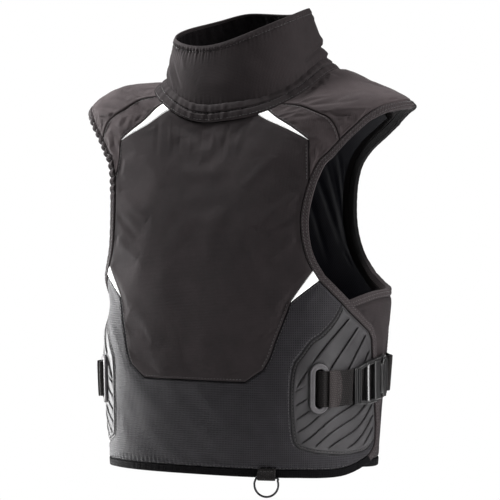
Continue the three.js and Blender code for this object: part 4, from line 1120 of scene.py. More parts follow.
def skin(name, sections, material, closed=False, mirror=False, shade=None):
    """A surface over a row of sections, closed into a ring or capped with fans. The UV map runs along it in
    metres and round its section; the faces are turned out if their signed volume is negative. Shade is painted
    on an open surface, one value for each section."""
    stations, size = sections.shape[:2]
    index = np.arange(stations * size).reshape(stations, size)
    rows = np.vstack([index, index[:1]]) if closed else index
    after = np.roll(rows, -1, axis=1)
    blocks = [np.stack([rows[:-1], after[:-1], after[1:], rows[1:]], -1).reshape(-1, 4)]
    points = sections.reshape(-1, 3)
    along = np.broadcast_to(lengths(sections.mean(axis=1))[:, None], (stations, size))
    around = np.linalg.norm(np.diff(sections, axis=1), axis=-1)
    around = np.concatenate([np.zeros((stations, 1)), np.cumsum(around, axis=1)], axis=1)
    uv = np.stack([along, around], -1).reshape(-1, 2) * 0.001
    if not closed:
        first, last = stations * size, stations * size + 1
        points = np.concatenate([points, sections[[0, -1]].mean(axis=1)])
        uv = np.concatenate([uv, uv[[0, -1]]])
        blocks.append(np.stack([after[0], index[0], np.full(size, first)], -1))
        blocks.append(np.stack([index[-1], after[-1], np.full(size, last)], -1))
    quads = points[blocks[0]]
    cross = np.cross(quads[:, 2] - quads[:, 0], quads[:, 3] - quads[:, 1])
    if ((quads.mean(axis=1) - points.mean(axis=0)) * cross).sum() < 0:
        blocks = [block[:, ::-1] for block in blocks]
    if shade is not None:
        shade = np.append(np.repeat(shade, size), shade[[0, -1]])
    return make_mesh(name, points, blocks, material, uv, painted_shade=shade, mirror=mirror)


TAPE_SPACING = 2.2


def tape_material(name, dark, light):
    """Woven polyester tape: near black and matt, with fine slanting ribs."""
    material, tree = new_material(name)
    cloth = add(tree, "UVMap", uv_map="cloth")
    ribs = add(tree, "TexWave", {
        "Vector": cloth, "Scale": WAVE * MM / TAPE_SPACING, "Distortion": 0.4,
    }, bands_direction="DIAGONAL").outputs["Fac"]
    paler = add(tree, "Math", {0: ribs, 1: 0.5, 2: 0.5}, operation="MULTIPLY_ADD")
    # Painted shade: the tape turns black where its points carry painted shade, behind the arm.
    tone = less_in_painted_shade(tree, paler)
    shade = add(tree, "ValToRGB", {"Fac": tone}, [(0.0, PAINTED_SHADE_BLACK), (0.5, dark), (1.0, light)])
    bump = add(tree, "Bump", {"Height": ribs, "Strength": 0.3, "Distance": 0.0005})
    return finished(material, {
        "Base Color": shade, "Roughness": 0.8, "Specular IOR Level": 0.1, "Sheen Weight": 0.06,
        "Sheen Roughness": 0.4, "Sheen Tint": linear("#a09c9e"), "Normal": bump,
    })


tape = tape_material("woven edge tape", "#2b2728", "#3a3435")
PUCKER, LOBE_HEIGHT = 0.5, 3.6
LOBE_SPACING, LOBE_LEVELS = 12.5, (3.3, 3.6, 4.6, 4.9)


def band_sections(edge, side, sink, pucker, width=BINDING_WIDTH - 0.3):
    """Sections of a band along an edge of the torso: a flat oblong between the edge and the panel, whose
    outside swells in lobes as high as the puckers, one height or one for each place of the edge."""
    section = oblong(34, width, BINDING_THICK, 8.0)
    length = lengths(torso(edge))
    lobes = np.abs(np.sin(np.pi * length / LOBE_SPACING + 0.8 * np.sin(length / 37))) ** 0.7
    rails = []
    for across, out in section:
        rail = shifted(edge, side * (across + width / 2))
        swell = pucker * (lobes - 0.5) * max(out, 0) / BINDING_THICK * 2
        rails.append(lay(rail, out - BINDING_THICK / 2 + BINDING_STAND + sink(rail) + swell))
    return np.stack(rails, 1)


def edge_sink(places):
    """The binding dips under the front with the back wings, and nowhere else."""
    dipped = np.concatenate([np.zeros(len(front_edge)), np.ones(len(places) - len(front_edge))])
    return wing_sink(places) * dipped


def band_row(edge, distance, sink):
    """A stitch row on a band."""
    row = shifted(edge, distance)
    return lay(row, BINDING_STAND + 0.15 + sink(row)), torso_normal(row)


rise_start, rise_end, fall_start, fall_end = LOBE_LEVELS
edge_level = whole_edge[:, 1]
bunched = smooth(edge_level, rise_start, rise_end) * (1 - smooth(edge_level, fall_start, fall_end))
bunched[len(front_edge) :] = 0
# Painted shade: the tape from behind the shoulder tip down the back armhole is darkened to black, where it
# faces away from the lights.
painted_shade_behind_arm = smooth(whole_edge[:, 0], 92, 98) * smooth(edge_level, 2.2, 2.5)
painted_shade_behind_arm[: len(front_edge)] = 0
for side, turn, edge, pucker in (
    ("left", 1, whole_edge, PUCKER),
    ("right", -1, mirrored(whole_edge), PUCKER + LOBE_HEIGHT * bunched),
):
    binding = skin(f"edge_tape_{side}", band_sections(edge, turn, edge_sink, pucker), tape, shade=painted_shade_behind_arm)
    binding_nodes = [f"{part}_binding_{side}" for part in ("armhole", "front_side", "back_side")]
    dress(binding, "binding_tape", *binding_nodes)
    stitching(f"edge_tape_stitching_{side}", [band_row(edge, turn * row, edge_sink) for row in BINDING_ROWS])

# Hem
# The nylon is folded up inside at the bottom and sewn through, which leaves a narrow rounded band.
# The front one runs on under the ends of the edge tape.
HEM_WIDTH, HEM_PUCKER = 10.6, 0.3
# A much darker, duller copy of the nylon: painted shade on the hem band, which lies in shadow under the vest.
hem_nylon_in_painted_shade = nylon_material("folded nylon hem in painted shade", "#040404", "#121113", 0.1)


def run_on(edge, distance):
    """An edge run on straight at both ends, in the direction of its last step of the solid."""
    ends = [(edge[end] - edge[inner]) * PLACE_SCALE for end, inner in ((0, FINE), (-1, -1 - FINE))]
    start, finish = (unit(way) * distance / PLACE_SCALE for way in ends)
    return np.vstack([edge[:1] + start, edge, edge[-1:] + finish])


front_hem = run_on(hem_top, BINDING_WIDTH - 1)
back_hem = joined(back_wing_bottom, back_hem_top, behind(back_wing_bottom)[::-1])[2:-2]
for name, edge, sink, node in (
    ("hem_front", front_hem, unsunk, "hem_binding_front"),
    ("hem_back", back_hem, wing_sink, "hem_binding_back"),
):
    hem = skin(name, band_sections(edge, -1, sink, HEM_PUCKER, HEM_WIDTH), hem_nylon_in_painted_shade)
    dress(hem, "binding_tape", node)

# Neck roll
# A padded softshell roll round the foot of the collar, quilted by one stitch row into two flat ridges and
# sewn down along its lower edge, which spreads over the shoulders. It runs on into the collar without a step.
ROLL_ANGLES = np.linspace(180, 540, 480, endpoint=False)
ROLL_WIDTH, ROLL_DEPTH, ROLL_RISE, ROLL_LIP = 25.0, 9.5, 4.8, 2.5
ROLL_GROOVE, ROLL_FOOT_ROW = 1.9, 9.5


def roll_frame(angle):
    """Neck line at an angle in degrees, with the ways up and out of the roll, which stands steeper than the
    cloth."""
    places = np.stack([angle, np.full_like(angle, NECK_LEVEL)], -1)
    around, up = torso_slopes(places)
    up = unit(unit(up) + [0, 0, 0.6])
    return torso(places), up, unit(np.cross(around, up))


roll_line, roll_up, roll_out = roll_frame(ROLL_ANGLES)
roll_section = oblong(72, ROLL_WIDTH, ROLL_DEPTH, 3.2)
roll_groove = ROLL_GROOVE * bell(roll_section[:, 0], 1.1) * (roll_section[:, 1] > 0)
roll_turn = np.radians(ROLL_ANGLES)
roll_unevenness = 0.35 * np.sin(37 * roll_turn) + 0.3 * np.sin(61 * roll_turn + 1)
roll_stand = roll_section[:, 1] - roll_groove + roll_unevenness[:, None] * (roll_section[:, 1] > 0)
roll_spread = 1 + ROLL_LIP / (ROLL_WIDTH / 2) * np.sin(roll_turn)[:, None] ** 2
roll_across = roll_section[:, 0] * np.where(roll_section[:, 0] < 0, roll_spread, 1)
roll_points = (
    roll_line[:, None]
    + roll_up[:, None] * (ROLL_RISE + roll_across[..., None])
    + roll_out[:, None] * roll_stand[..., None]
)
neck_roll = skin("neck_roll", roll_points, shaded_softshell, closed=True)
dress(neck_roll, "softshell", "collar_roll")
quilt_row = roll_line + roll_up * ROLL_RISE + roll_out * (ROLL_DEPTH / 2 - ROLL_GROOVE + 0.2)
foot_row = roll_line + roll_up * (ROLL_RISE - ROLL_FOOT_ROW * roll_spread) + roll_out * (ROLL_DEPTH / 2 - 0.6)
stitching("neck_roll_stitching", [(quilt_row, roll_out), (foot_row, roll_out)])

# Collar
# A tall stand-up collar of softshell, leaning forward and higher on the wearer's left, its rim sagging behind
# the left ear. The rim is turned in and topstitched, which gathers it, and it creases at the sides.
RIM = {"half_width": 104.0, "front_depth": 84.0, "back_depth": 76.0, "squareness": 2.15, "forward": 12.0}
RIM_MIDDLE, RIM_BACK_RISE, RIM_LEFT_RISE, RIM_SIDE_RISE = 634.0, 26.0, 13.7, 5.9
COLLAR_FOOT_RISE, COLLAR_FOOT_OUT = 12.5, 1.2
COLLAR_SHELL, COLLAR_FLEECE, RIM_ROW_DEPTH = 2.4, 3.0, 7.0
COLLAR_ANGLES = np.linspace(180, 540, 720, endpoint=False)
RIM_SAG = {"at": 143.0, "spread": 36.0, "depth": 12.0}
RIM_PEAK = {"at": 212.0, "spread": 22.0, "height": 5.0}
RIM_PINCH = {"at": 121.0, "spread": 45.0, "depth": 7.0}


def around_front(angle):
    """Angle from the front middle, from -180 to 180, towards the wearer's left."""
    return (angle + 180) % 360 - 180


def near_angle(angle, middle, spread):
    """A bell curve round an angle, whichever way it is counted."""
    return bell(around_front(angle - middle), spread)


def collar_ends(angle):
    """Foot and rim points of the collar at an angle in degrees, and the way out from it."""
    turn = np.radians(angle)
    outward = np.stack([np.sin(turn), -np.cos(turn), np.zeros_like(turn)], -1)
    line, up, out = roll_frame(angle)
    foot = line + COLLAR_FOOT_RISE * up + COLLAR_FOOT_OUT * out
    radius = oval_radius(turn, RIM["half_width"], RIM["front_depth"], RIM["back_depth"], RIM["squareness"])
    radius = radius - RIM_PINCH["depth"] * near_angle(angle, RIM_PINCH["at"], RIM_PINCH["spread"])
    height = RIM_MIDDLE - RIM_BACK_RISE * np.cos(turn) + RIM_LEFT_RISE * np.sin(turn)
    height = height - RIM_SAG["depth"] * near_angle(angle, RIM_SAG["at"], RIM_SAG["spread"])
    height = height + RIM_PEAK["height"] * near_angle(angle, RIM_PEAK["at"], RIM_PEAK["spread"])
    height = height - RIM_SIDE_RISE * np.cos(2 * turn) - SHOULDER_HEIGHT
    rim = np.stack([radius * np.sin(turn), -RIM["forward"] - radius * np.cos(turn), height], -1)
    return foot, rim, outward


def collar_point(angle, share, offset):
    """A straight line from foot to rim, moved outward by an offset."""
    foot, rim, outward = collar_ends(angle)
    return foot + (rim - foot) * share[..., None] + outward * offset[..., None]


COLLAR_BELLY, RIM_SWELL, RIM_GROOVE = 1.6, 0.9, 0.9
RIM_GATHER, RIM_GATHER_REACH, FOOT_GATHER, FOOT_GATHER_REACH = 0.8, 7.0, 0.45, 6.0
MOST_GATHERED = (-48, 36)  # angle at which the rim is gathered most, and its spread
COLLAR_SCALE = np.array([1.75, 95.0])  # millimetres for a degree round the collar and for its whole height
COLLAR_FOLDS = [
    [-62, 0.66, -38, 0.1, 5, 2.0], [-50, 0.6, -32, 0.2, 4, -1.4], [-72, 0.4, -52, 0.08, 4.5, 1.6],
    [-84, 0.8, -64, 0.5, 6, -1.6], [-40, 0.9, -30, 0.55, 5, 1.0], [-110, 0.7, -90, 0.3, 8, 1.6],
    [-14, 0.5, 22, 0.3, 12, 0.8], [30, 0.8, 48, 0.4, 9, -0.8], [62, 0.75, 88, 0.4, 7, 1.2],
    [150, 0.52, 84, 0.36, 6, 2.4], [150, 0.36, 74, 0.2, 3.2, -4.2], [150, 0.24, 78, 0.08, 4.6, 3.4],
    [124, 0.9, 96, 0.8, 3, 0.9], [112, 0.92, 82, 0.7, 6, 1.0],
]


def collar_relief(angle, share):
    """Stand of the collar cloth: a slight belly, slanting folds, the rim's stitch groove with gathers under
    it, and short gathers above the neck roll."""
    foot, rim, _ = collar_ends(angle)
    height = np.linalg.norm(rim - foot, axis=-1)
    below_rim, above_foot = (1 - share) * height, share * height
    turned = around_front(angle)
    creases = folds(np.stack([turned, share], -1), COLLAR_FOLDS, COLLAR_SCALE)
    ripple = np.sin(turned * 1.75 + 2 * np.sin(turned * 0.13)) + 0.6 * np.sin(turned * 0.9 + 1)
    rim_gather = RIM_GATHER * ripple * np.exp(-np.maximum(below_rim - RIM_ROW_DEPTH, 0) / RIM_GATHER_REACH)
    rim_gather = rim_gather * (0.3 + 0.7 * near_angle(angle, *MOST_GATHERED))
    foot_ripple = np.sin(turned * 1.45 + 1.2 * np.sin(turned * 0.17)) + 0.4 * np.sin(turned * 2.3)
    foot_gather = FOOT_GATHER * foot_ripple * np.exp(-above_foot / FOOT_GATHER_REACH)
    groove = -RIM_GROOVE * bell(below_rim - RIM_ROW_DEPTH, 1.3)
    belly = COLLAR_BELLY * np.sin(np.pi * share) + RIM_SWELL * bell(below_rim - 3, 3.5)
    return belly + creases + rim_gather * smooth(below_rim, 0, 4) + foot_gather + groove


outer_shares = crowded(70, 0.4)
rim_turn = np.linspace(0, np.pi, 9)[1:-1]
inner_shares = np.linspace(1, 0.02, 12)
collar_rows, collar_columns = COLLAR_ANGLES[:, None], outer_shares[None, :]
outer_grid = np.broadcast_arrays(collar_rows, collar_columns)
collar_outside = collar_point(*outer_grid, collar_relief(*outer_grid))
rim_grid = np.broadcast_arrays(collar_rows, np.ones((1, len(rim_turn))))
rim_offset = collar_relief(*rim_grid) * (1 + np.cos(rim_turn)) / 2 - COLLAR_SHELL * (1 - np.cos(rim_turn)) / 2
rim_edge = collar_point(*rim_grid, rim_offset)
rim_edge[..., 2] += 1.5 * np.sin(rim_turn)
inner_grid = np.broadcast_arrays(collar_rows, inner_shares[None, :])
collar_inside = collar_point(*inner_grid, np.full(inner_grid[0].shape, -COLLAR_SHELL))
collar_sections = np.concatenate([collar_outside, rim_edge, collar_inside], axis=1)
collar = skin("collar_cloth", collar_sections, shaded_softshell, closed=True)
dress(collar, "softshell", "collar")
row_foot, row_rim, row_out = collar_ends(COLLAR_ANGLES)
row_share = 1 - RIM_ROW_DEPTH / np.linalg.norm(row_rim - row_foot, axis=-1)
collar_row = collar_point(COLLAR_ANGLES, row_share, collar_relief(COLLAR_ANGLES, row_share) + 0.2)
stitching("collar_stitching", [(collar_row, row_out)])

# Collar lining
# Brushed black polyester fleece on the inside of the collar, soft against the chin.
# It is sewn in just below the rim and along the neck seam.


def fleece_material(name, dark, light):
    """Brushed polyester fleece: black and light-swallowing, with a cloudy nap of about 3 mm tufts."""
    material, tree = new_material(name)
    place = add(tree, "TexCoord").outputs["Object"]
    tufts = add(tree, "TexNoise", {"Vector": place, "Scale": MM / 3.03, "Detail": 4, "Roughness": 0.7})
    shade = add(tree, "ValToRGB", {"Fac": tufts}, [(0.35, dark), (0.7, light)])
    bump = add(tree, "Bump", {"Height": tufts, "Strength": 0.7, "Distance": 0.0015})
    return finished(material, {
        "Base Color": shade, "Roughness": 0.95, "Specular IOR Level": 0.03, "Sheen Weight": 0.06,
        "Sheen Roughness": 0.6, "Sheen Tint": linear("#8a8688"), "Normal": bump,
    })


fleece = fleece_material("brushed black fleece", "#070607", "#121011")
FLEECE_FRONT, FLEECE_REAR = 40, 12  # rows of the fleece's face and of its rear
FLEECE_GAP = 0.6
fleece_shares = np.concatenate([np.linspace(0.04, 0.95, FLEECE_FRONT), np.linspace(0.95, 0.04, FLEECE_REAR)])
fleece_rear = -COLLAR_SHELL - FLEECE_GAP
fleece_face = np.where(np.arange(len(fleece_shares)) < FLEECE_FRONT, fleece_rear - COLLAR_FLEECE, fleece_rear)
fleece_angles, fleece_heights = np.broadcast_arrays(COLLAR_ANGLES[:, None], fleece_shares[None, :])
fleece_turn = around_front(fleece_angles)
fleece_wave = 0.6 * np.sin(fleece_turn * 0.31 + 5 * fleece_heights)
fleece_wave = fleece_wave + 0.4 * np.sin(fleece_turn * 0.83 - 7 * fleece_heights)
fleece_offset = fleece_face + fleece_wave * (fleece_face < fleece_rear)
fleece_points = collar_point(fleece_angles, fleece_heights, fleece_offset)
collar_lining = skin("collar_fleece", fleece_points, fleece, closed=True)
dress(collar_lining, "fleece", "collar_lining")

# Slot frames
# A moulded stadium-shaped ring of grey rubber round each strap slot, which spreads the strap's pull.
# It is sewn on through a groove that runs round its middle.
SLOT_STAND_OFF, SLOT_THICK, SLOT_ROW_SHARE = 0.5, 4.4, 0.62
STRAP_SINK, STRAP_SINK_ANGLES = 13.0, (90.5, 104.0, 110.0, 128.0)


def strap_point(along, across, out):
    """A point by a side strap: along is millimetres round the torso, across is up from the strap's middle,
    out is off the torso. The strap climbs a little to the rear and dips behind the buckle."""
    angle = along / MM_PER_DEGREE
    start, full, leave, end = STRAP_SINK_ANGLES
    sink = STRAP_SINK * smooth(angle, start, full) * (1 - smooth(angle, leave, end))
    height = STRAP_HEIGHT + STRAP_RISE * smooth(angle, *STRAP_RISE_ANGLES) + across
    return lay(np.stack(np.broadcast_arrays(angle, height / MM_PER_LEVEL), -1), out - sink)


def stadium_path(width, height, count):
    """Outline of a stadium in equal steps, counter-clockwise from its right-hand side."""
    radius, straight = width / 2, height / 2 - width / 2
    turn = np.linspace(0, np.pi, 40)
    upper = np.stack([radius * np.cos(turn), straight + radius * np.sin(turn)], -1)
    outline = np.vstack([upper, -upper, upper[:1]])
    return evenly(outline, count + 1)[:-1]


slot_middle = SLOT_ANGLE * MM_PER_DEGREE
ring_inner = stadium_path(SLOT_HOLE_WIDTH, SLOT_HOLE_HEIGHT, 180)
ring_outer = stadium_path(SLOT_WIDTH, SLOT_HEIGHT, 180)
ring_section = oblong(24, 2.0, SLOT_THICK, 3.0)
ring_share = (ring_section[:, 0] + 1) / 2
ring_flat = ring_inner[:, None] * (1 - ring_share[:, None]) + ring_outer[:, None] * ring_share[:, None]
ring_groove = 0.9 * bell(ring_share - SLOT_ROW_SHARE, 0.09) * (ring_section[:, 1] > 0)
ring_height = SLOT_STAND_OFF + SLOT_THICK / 2 + ring_section[:, 1] - ring_groove
ring_points = strap_point(slot_middle + ring_flat[..., 0], ring_flat[..., 1], ring_height[None, :])
row_flat = ring_inner * (1 - SLOT_ROW_SHARE) + ring_outer * SLOT_ROW_SHARE
row_flat = np.vstack([row_flat, row_flat[:1]])
row_points = strap_point(slot_middle + row_flat[:, 0], row_flat[:, 1], SLOT_STAND_OFF + SLOT_THICK - 0.5)
row_normals = row_points - strap_point(slot_middle + row_flat[:, 0], row_flat[:, 1], 0)
frame_rubber = rubber_material("moulded grey rubber ring", "#454345", "#5a575a")
for side, mirror in SIDES:
    slot_frame = skin(f"slot_ring_{side}", ring_points, frame_rubber, closed=True, mirror=mirror)
    dress(slot_frame, "moulded_rubber", f"slot_frame_{side}")
    stitching(f"slot_ring_stitching_{side}", [(row_points, row_normals)], mirror=mirror)

# Side straps
# Black 50 mm nylon webbing: the front strap comes out of the slot, is sewn back on itself and threads the
# buckle; the back strap runs from the buckle round to the back wing.
WEBBING_WIDTH, WEBBING_THICK = 49.0, 2.2
# angle and distance off the torso of each point that the webbing passes
FRONT_STRAP_PATH = [
    [58.3, -6], [58.5, -1], [59.0, 4.4], [59.8, 8.0], [60.6, 7.4], [61.6, 6.2], [62.6, 6.0], [64, 4.4],
    [66, 3.4], [69, 3.6], [71.2, 5.4], [72.4, 5.6], [73.2, 2.6], [74.4, 1.5], [78, 1.4], [83, 1.4],
]
BACK_STRAP_PATH = [
    [102.7, 8], [102.9, 12], [103.8, 14.4], [105.6, 13.6], [108, 9], [112, 5.6], [118, 4.2], [124, 3],
    [130, 2.2],
]
KEEPER_ANGLES, KEEPER_OUT, KEEPER_THICK, KEEPER_OVERHANG = (61.9, 67.6), 5.7, 2.4, 1.6
KEEPER_ROUND, KEEPER_LIFT = 4.5, 4.2  # how far its edge is rounded off, and its rise over the slot
# angle and half height of each stitch row across it
KEEPER_ROWS = [[66.0, 20], [66.7, 14]]


RIB_SPACING, YARN_SPACING = 2.6, 1.8


def webbing_material(name, dark, light):
    """Flat nylon webbing: black, with a herringbone of ribs along its length and a slight shine on the yarns.
    The ribs are 2 mm apart, drawn at 2.6 mm so that they show."""
    material, tree = new_material(name)
    cloth = add(tree, "UVMap", uv_map="cloth")
    ribs = add(tree, "TexWave", {
        "Vector": cloth, "Scale": WAVE * MM / RIB_SPACING, "Distortion": 0.3,
    }, bands_direction="Y")
    yarns = add(tree, "TexWave", {
        "Vector": cloth, "Scale": WAVE * MM / YARN_SPACING, "Distortion": 0.5,
    }, bands_direction="DIAGONAL")
    weave = add(tree, "Math", {0: ribs.outputs["Fac"], 1: yarns.outputs["Fac"]}, operation="MULTIPLY")
    shade = add(tree, "ValToRGB", {"Fac": weave}, [(0.0, dark), (1.0, light)])
    bump = add(tree, "Bump", {"Height": weave, "Strength": 0.55, "Distance": 0.0008})
    return finished(material, {
        "Base Color": shade, "Roughness": 0.65, "Specular IOR Level": 0.1, "Sheen Weight": 0.03,
        "Normal": bump,
    })


webbing = webbing_material("black nylon webbing", "#0e0d0d", "#2c2828")
# The sewn-back end is given a lighter webbing than the strap.
paler_webbing = webbing_material("paler nylon webbing", "#262222", "#453f3f")


def ribbon_sections(path, width, thick, steps):
    """Webbing along a path of [angle, out] places: an oblong section that stays square to the path."""
    middle = evenly(curve(np.array(path) * [MM_PER_DEGREE, 1]), steps + 1)
    travel = unit(np.gradient(middle, axis=0))
    section = oblong(36, width, thick, 6.0)
    along = middle[:, :1] - travel[:, 1:] * section[None, :, 1]
    out = middle[:, 1:] + travel[:, :1] * section[None, :, 1]
    across = np.broadcast_to(section[None, :, 0], along.shape)
    return strap_point(along, across, out)


def keeper_sections():
    """The strap's sewn-back end: a second layer on the strap with a rounded rear edge, longest at
    mid-height."""
    section = oblong(40, WEBBING_WIDTH + KEEPER_OVERHANG, KEEPER_THICK, 5.0)
    shares = np.linspace(0, 1, 40)[:, None]
    start, end = np.array(KEEPER_ANGLES) * MM_PER_DEGREE
    reach = end - KEEPER_ROUND * (section[None, :, 0] / WEBBING_WIDTH * 2) ** 2
    along = start + (reach - start) * shares
    rise = KEEPER_LIFT * (1 - smooth(shares, 0.1, 0.7))
    out = KEEPER_OUT + rise + section[None, :, 1]
    return strap_point(along, np.broadcast_to(section[None, :, 0], along.shape), out)


def strap_row(angle, half_height, out):
    """A stitch row across a strap at an angle."""
    height = np.linspace(-half_height, half_height, 40)
    along = np.full_like(height, angle * MM_PER_DEGREE)
    points = strap_point(along, height, np.full_like(height, out))
    return points, points - strap_point(along, height, np.zeros_like(height))


front_strap_points = ribbon_sections(FRONT_STRAP_PATH, WEBBING_WIDTH, WEBBING_THICK, 130)
back_strap_points = ribbon_sections(BACK_STRAP_PATH, WEBBING_WIDTH, WEBBING_THICK, 110)
keeper_points = keeper_sections()
keeper_top = KEEPER_OUT + KEEPER_THICK / 2 + 0.1
keeper_rows = [strap_row(*row, keeper_top) for row in KEEPER_ROWS]
for side, mirror in SIDES:
    front_strap = skin(f"front_webbing_{side}", front_strap_points, webbing, mirror=mirror)
    dress(front_strap, "webbing", f"front_strap_{side}")
    back_strap = skin(f"back_webbing_{side}", back_strap_points, webbing, mirror=mirror)
    dress(back_strap, "webbing", f"back_strap_{side}")
    keeper = skin(f"sewn_webbing_end_{side}", keeper_points, paler_webbing, mirror=mirror)
    dress(keeper, "webbing", f"strap_keeper_{side}")
    stitching(f"webbing_stitching_{side}", keeper_rows, "webbing", mirror)

# Buckles
# A black acetal side-release buckle on each side, fastened: a ladder half that the front strap threads, with
# two prongs that latch in the rear half, which the back strap is looped through.
BUCKLE_TILT = 0.08  # how far its lower edge stands out, for each millimetre down
BAR_STEPS, BAR_CROWD = 40, 0.9  # steps along each moulded bar, and how they crowd at its ends


def plastic_material(name, dark, light, roughness):
    """Moulded acetal: black with a satin mould finish, slightly scuffed on its faces."""
    material, tree = new_material(name)
    place = add(tree, "TexCoord").outputs["Object"]
    scuffs = add(tree, "TexNoise", {"Vector": place, "Scale": MM / 7.14, "Detail": 6})
    shade = add(tree, "ValToRGB", {"Fac": scuffs}, [(0.4, dark), (0.75, light)])
    grain = add(tree, "TexNoise", {"Vector": place, "Scale": MM / 0.77})
    bump = add(tree, "Bump", {"Height": grain, "Strength": 0.08, "Distance": 0.0003})
    return finished(material, {
        "Base Color": shade, "Roughness": roughness, "Specular IOR Level": 0.7, "Normal": bump,
    })


acetal = plastic_material("black acetal", "#0e0d0e", "#191718", 0.38)
polished_acetal = plastic_material("polished black acetal", "#111011", "#1e1c1d", 0.12)


def rounded_ends(count, length, radius):
    """Shares along a bar that crowd at its ends, and the section's size there: a quarter of a
    superellipse."""
    shares = crowded(count, BAR_CROWD)
    from_end = np.minimum(shares, 1 - shares) * length
    size = (1 - np.clip(1 - from_end / radius, 0, 1) ** 3) ** (1 / 3)
    return shares, np.maximum(size, 0.02)


def bar(start, end, width, thick, round_end=2.0, slope=0.0, power=4.5):
    """A rounded bar by the strap, from one [along, across, out] point to another, along or across the strap.
    The width may be an array, one for each station, and slope raises one side over the other."""
    start, end = np.array(start, float), np.array(end, float)
    shares, size = rounded_ends(BAR_STEPS, np.linalg.norm(end - start), round_end)
    middle = start + (end - start) * shares[:, None]
    section = oblong(28, 1.0, 1.0, power)
    side = section[None, :, 0] * (width - 2 * round_end * (1 - size))[:, None]
    lift = section[None, :, 1] * (thick * size)[:, None] + slope * side
    lengthwise = abs(end[0] - start[0]) > abs(end[1] - start[1])
    along = middle[:, :1] + (0 if lengthwise else side)
    across = middle[:, 1:2] + (side if lengthwise else 0)
    return strap_point(*np.broadcast_arrays(along, across), middle[:, 2:] + lift - BUCKLE_TILT * across)


def bars_mesh(name, bars, material, mirror):
    """Several bars as one object, each a closed skin."""
    pieces = [skin(f"{name}_{k}", sections, material, mirror=mirror) for k, sections in enumerate(bars)]
    with bpy.context.temp_override(active_object=pieces[0], selected_editable_objects=pieces):
        bpy.ops.object.join()
    pieces[0].name = name
    return pieces[0]


def crossbar(angle, half_height, out, width, thick, round_end, **shape):
    """A bar across the strap at an angle round the torso."""
    along = angle * MM_PER_DEGREE
    return bar([along, -half_height, out], [along, half_height, out], width, thick, round_end, **shape)


def rail(start, end, low, high, out, width, thick, sign):
    """A bar along the strap between two angles, with a height across it at each end, above the middle or, by
    its sign, below it."""
    along = np.array([start, end]) * MM_PER_DEGREE
    return bar([along[0], sign * low, out], [along[1], sign * high, out], width, thick)


# angle, half height, stand-off, width, thickness and rounded end of each bar across the strap
LADDER_CROSSBARS = [
    [75.1, 24.8, 5.9, 12.0, 5.6, 2.0],
    [74.1, 24.0, 8.9, 2.4, 2.4, 0.9],
    [75.1, 24.0, 9.1, 2.0, 2.4, 0.8],
    [76.1, 24.0, 8.9, 2.4, 2.4, 0.9],
    [86.9, 27.2, 6.6, 15.6, 9.4, 2.6],
]
GLOSS_CROSSBAR, GLOSS_SLOPE, GLOSS_ROUNDNESS = [80.9, 26.0, 7.6, 8.0, 4.6, 2.2], 0.47, 2.2
REAR_CROSSBARS = [[92.6, 25.8, 11.0, 4.6, 2.6, 1.0], [103.4, 22.4, 7.0, 5.2, 8.6, 2.0]]
# start and end angle, height at the start and at the end, stand-off, width and thickness of each side rail
LADDER_RAILS = [
    [75.4, 80.4, 22.6, 26.2, 5.4, 5.0, 6.4],
    [79.6, 87.0, 26.2, 27.0, 6.0, 5.6, 7.6],
    [88.0, 95.6, 25.6, 26.6, 4.4, 6.0, 5.6],
]
BODY_ANGLES, BODY_OUT, BODY_THICK, BODY_ROUND = [89.4, 103.6], 6.9, 9.6, 2.6
BODY_MOUTH, BODY_SHOULDER, BODY_TAPER = 42, 12, 8  # width at the mouth, what it gains there and then loses
ladder_bars = [crossbar(*row) for row in LADDER_CROSSBARS]
ladder_bars += [rail(*row, sign) for sign in (-1, 1) for row in LADDER_RAILS]
gloss_bars = [crossbar(*GLOSS_CROSSBAR, slope=GLOSS_SLOPE, power=GLOSS_ROUNDNESS)]
body_shares = crowded(BAR_STEPS, BAR_CROWD)
body_width = BODY_MOUTH + BODY_SHOULDER * smooth(body_shares, 0.10, 0.16)
body_width = body_width - BODY_TAPER * smooth(body_shares, 0.55, 1.0)
body_from, body_to = np.array(BODY_ANGLES) * MM_PER_DEGREE
rear_body = bar([body_from, 0, BODY_OUT], [body_to, 0, BODY_OUT], body_width, BODY_THICK, BODY_ROUND)
rear_bars = [rear_body, *(crossbar(*row) for row in REAR_CROSSBARS)]
for side, mirror in SIDES:
    ladder_half = bars_mesh(f"ladder_half_{side}", ladder_bars, acetal, mirror)
    dress(ladder_half, "buckle_plastic", f"buckle_male_{side}")
    glossy_bar = bars_mesh(f"ladder_gloss_bar_{side}", gloss_bars, polished_acetal, mirror)
    dress(glossy_bar, "buckle_plastic")
    rear_half = bars_mesh(f"rear_half_{side}", rear_bars, acetal, mirror)
    dress(rear_half, "buckle_plastic", f"buckle_female_{side}")

# Ring tab
# A folded loop of 25 mm nylon webbing, which holds the ring.
# It is sewn to the front of the hem on the wearer's left.
TAB_ALONG = np.array([0.95511, 0.29626, 0.0])
TAB_OUT = np.array([0.29626, -0.95511, 0.0])
TAB_EYE = np.array([113.90, -143.78, -538.0])
TAB_WIDTH, TAB_THICK, TAB_LOOP, TAB_TOP, TAB_ROW = 25.0, 2.0, 3.2, 12.0, 8.8


def tab_point(along, out, height):
    """A point by the tab, from the middle of its eye."""
    return TAB_EYE + along[..., None] * TAB_ALONG + out[..., None] * TAB_OUT + height[..., None] * [0, 0, 1]


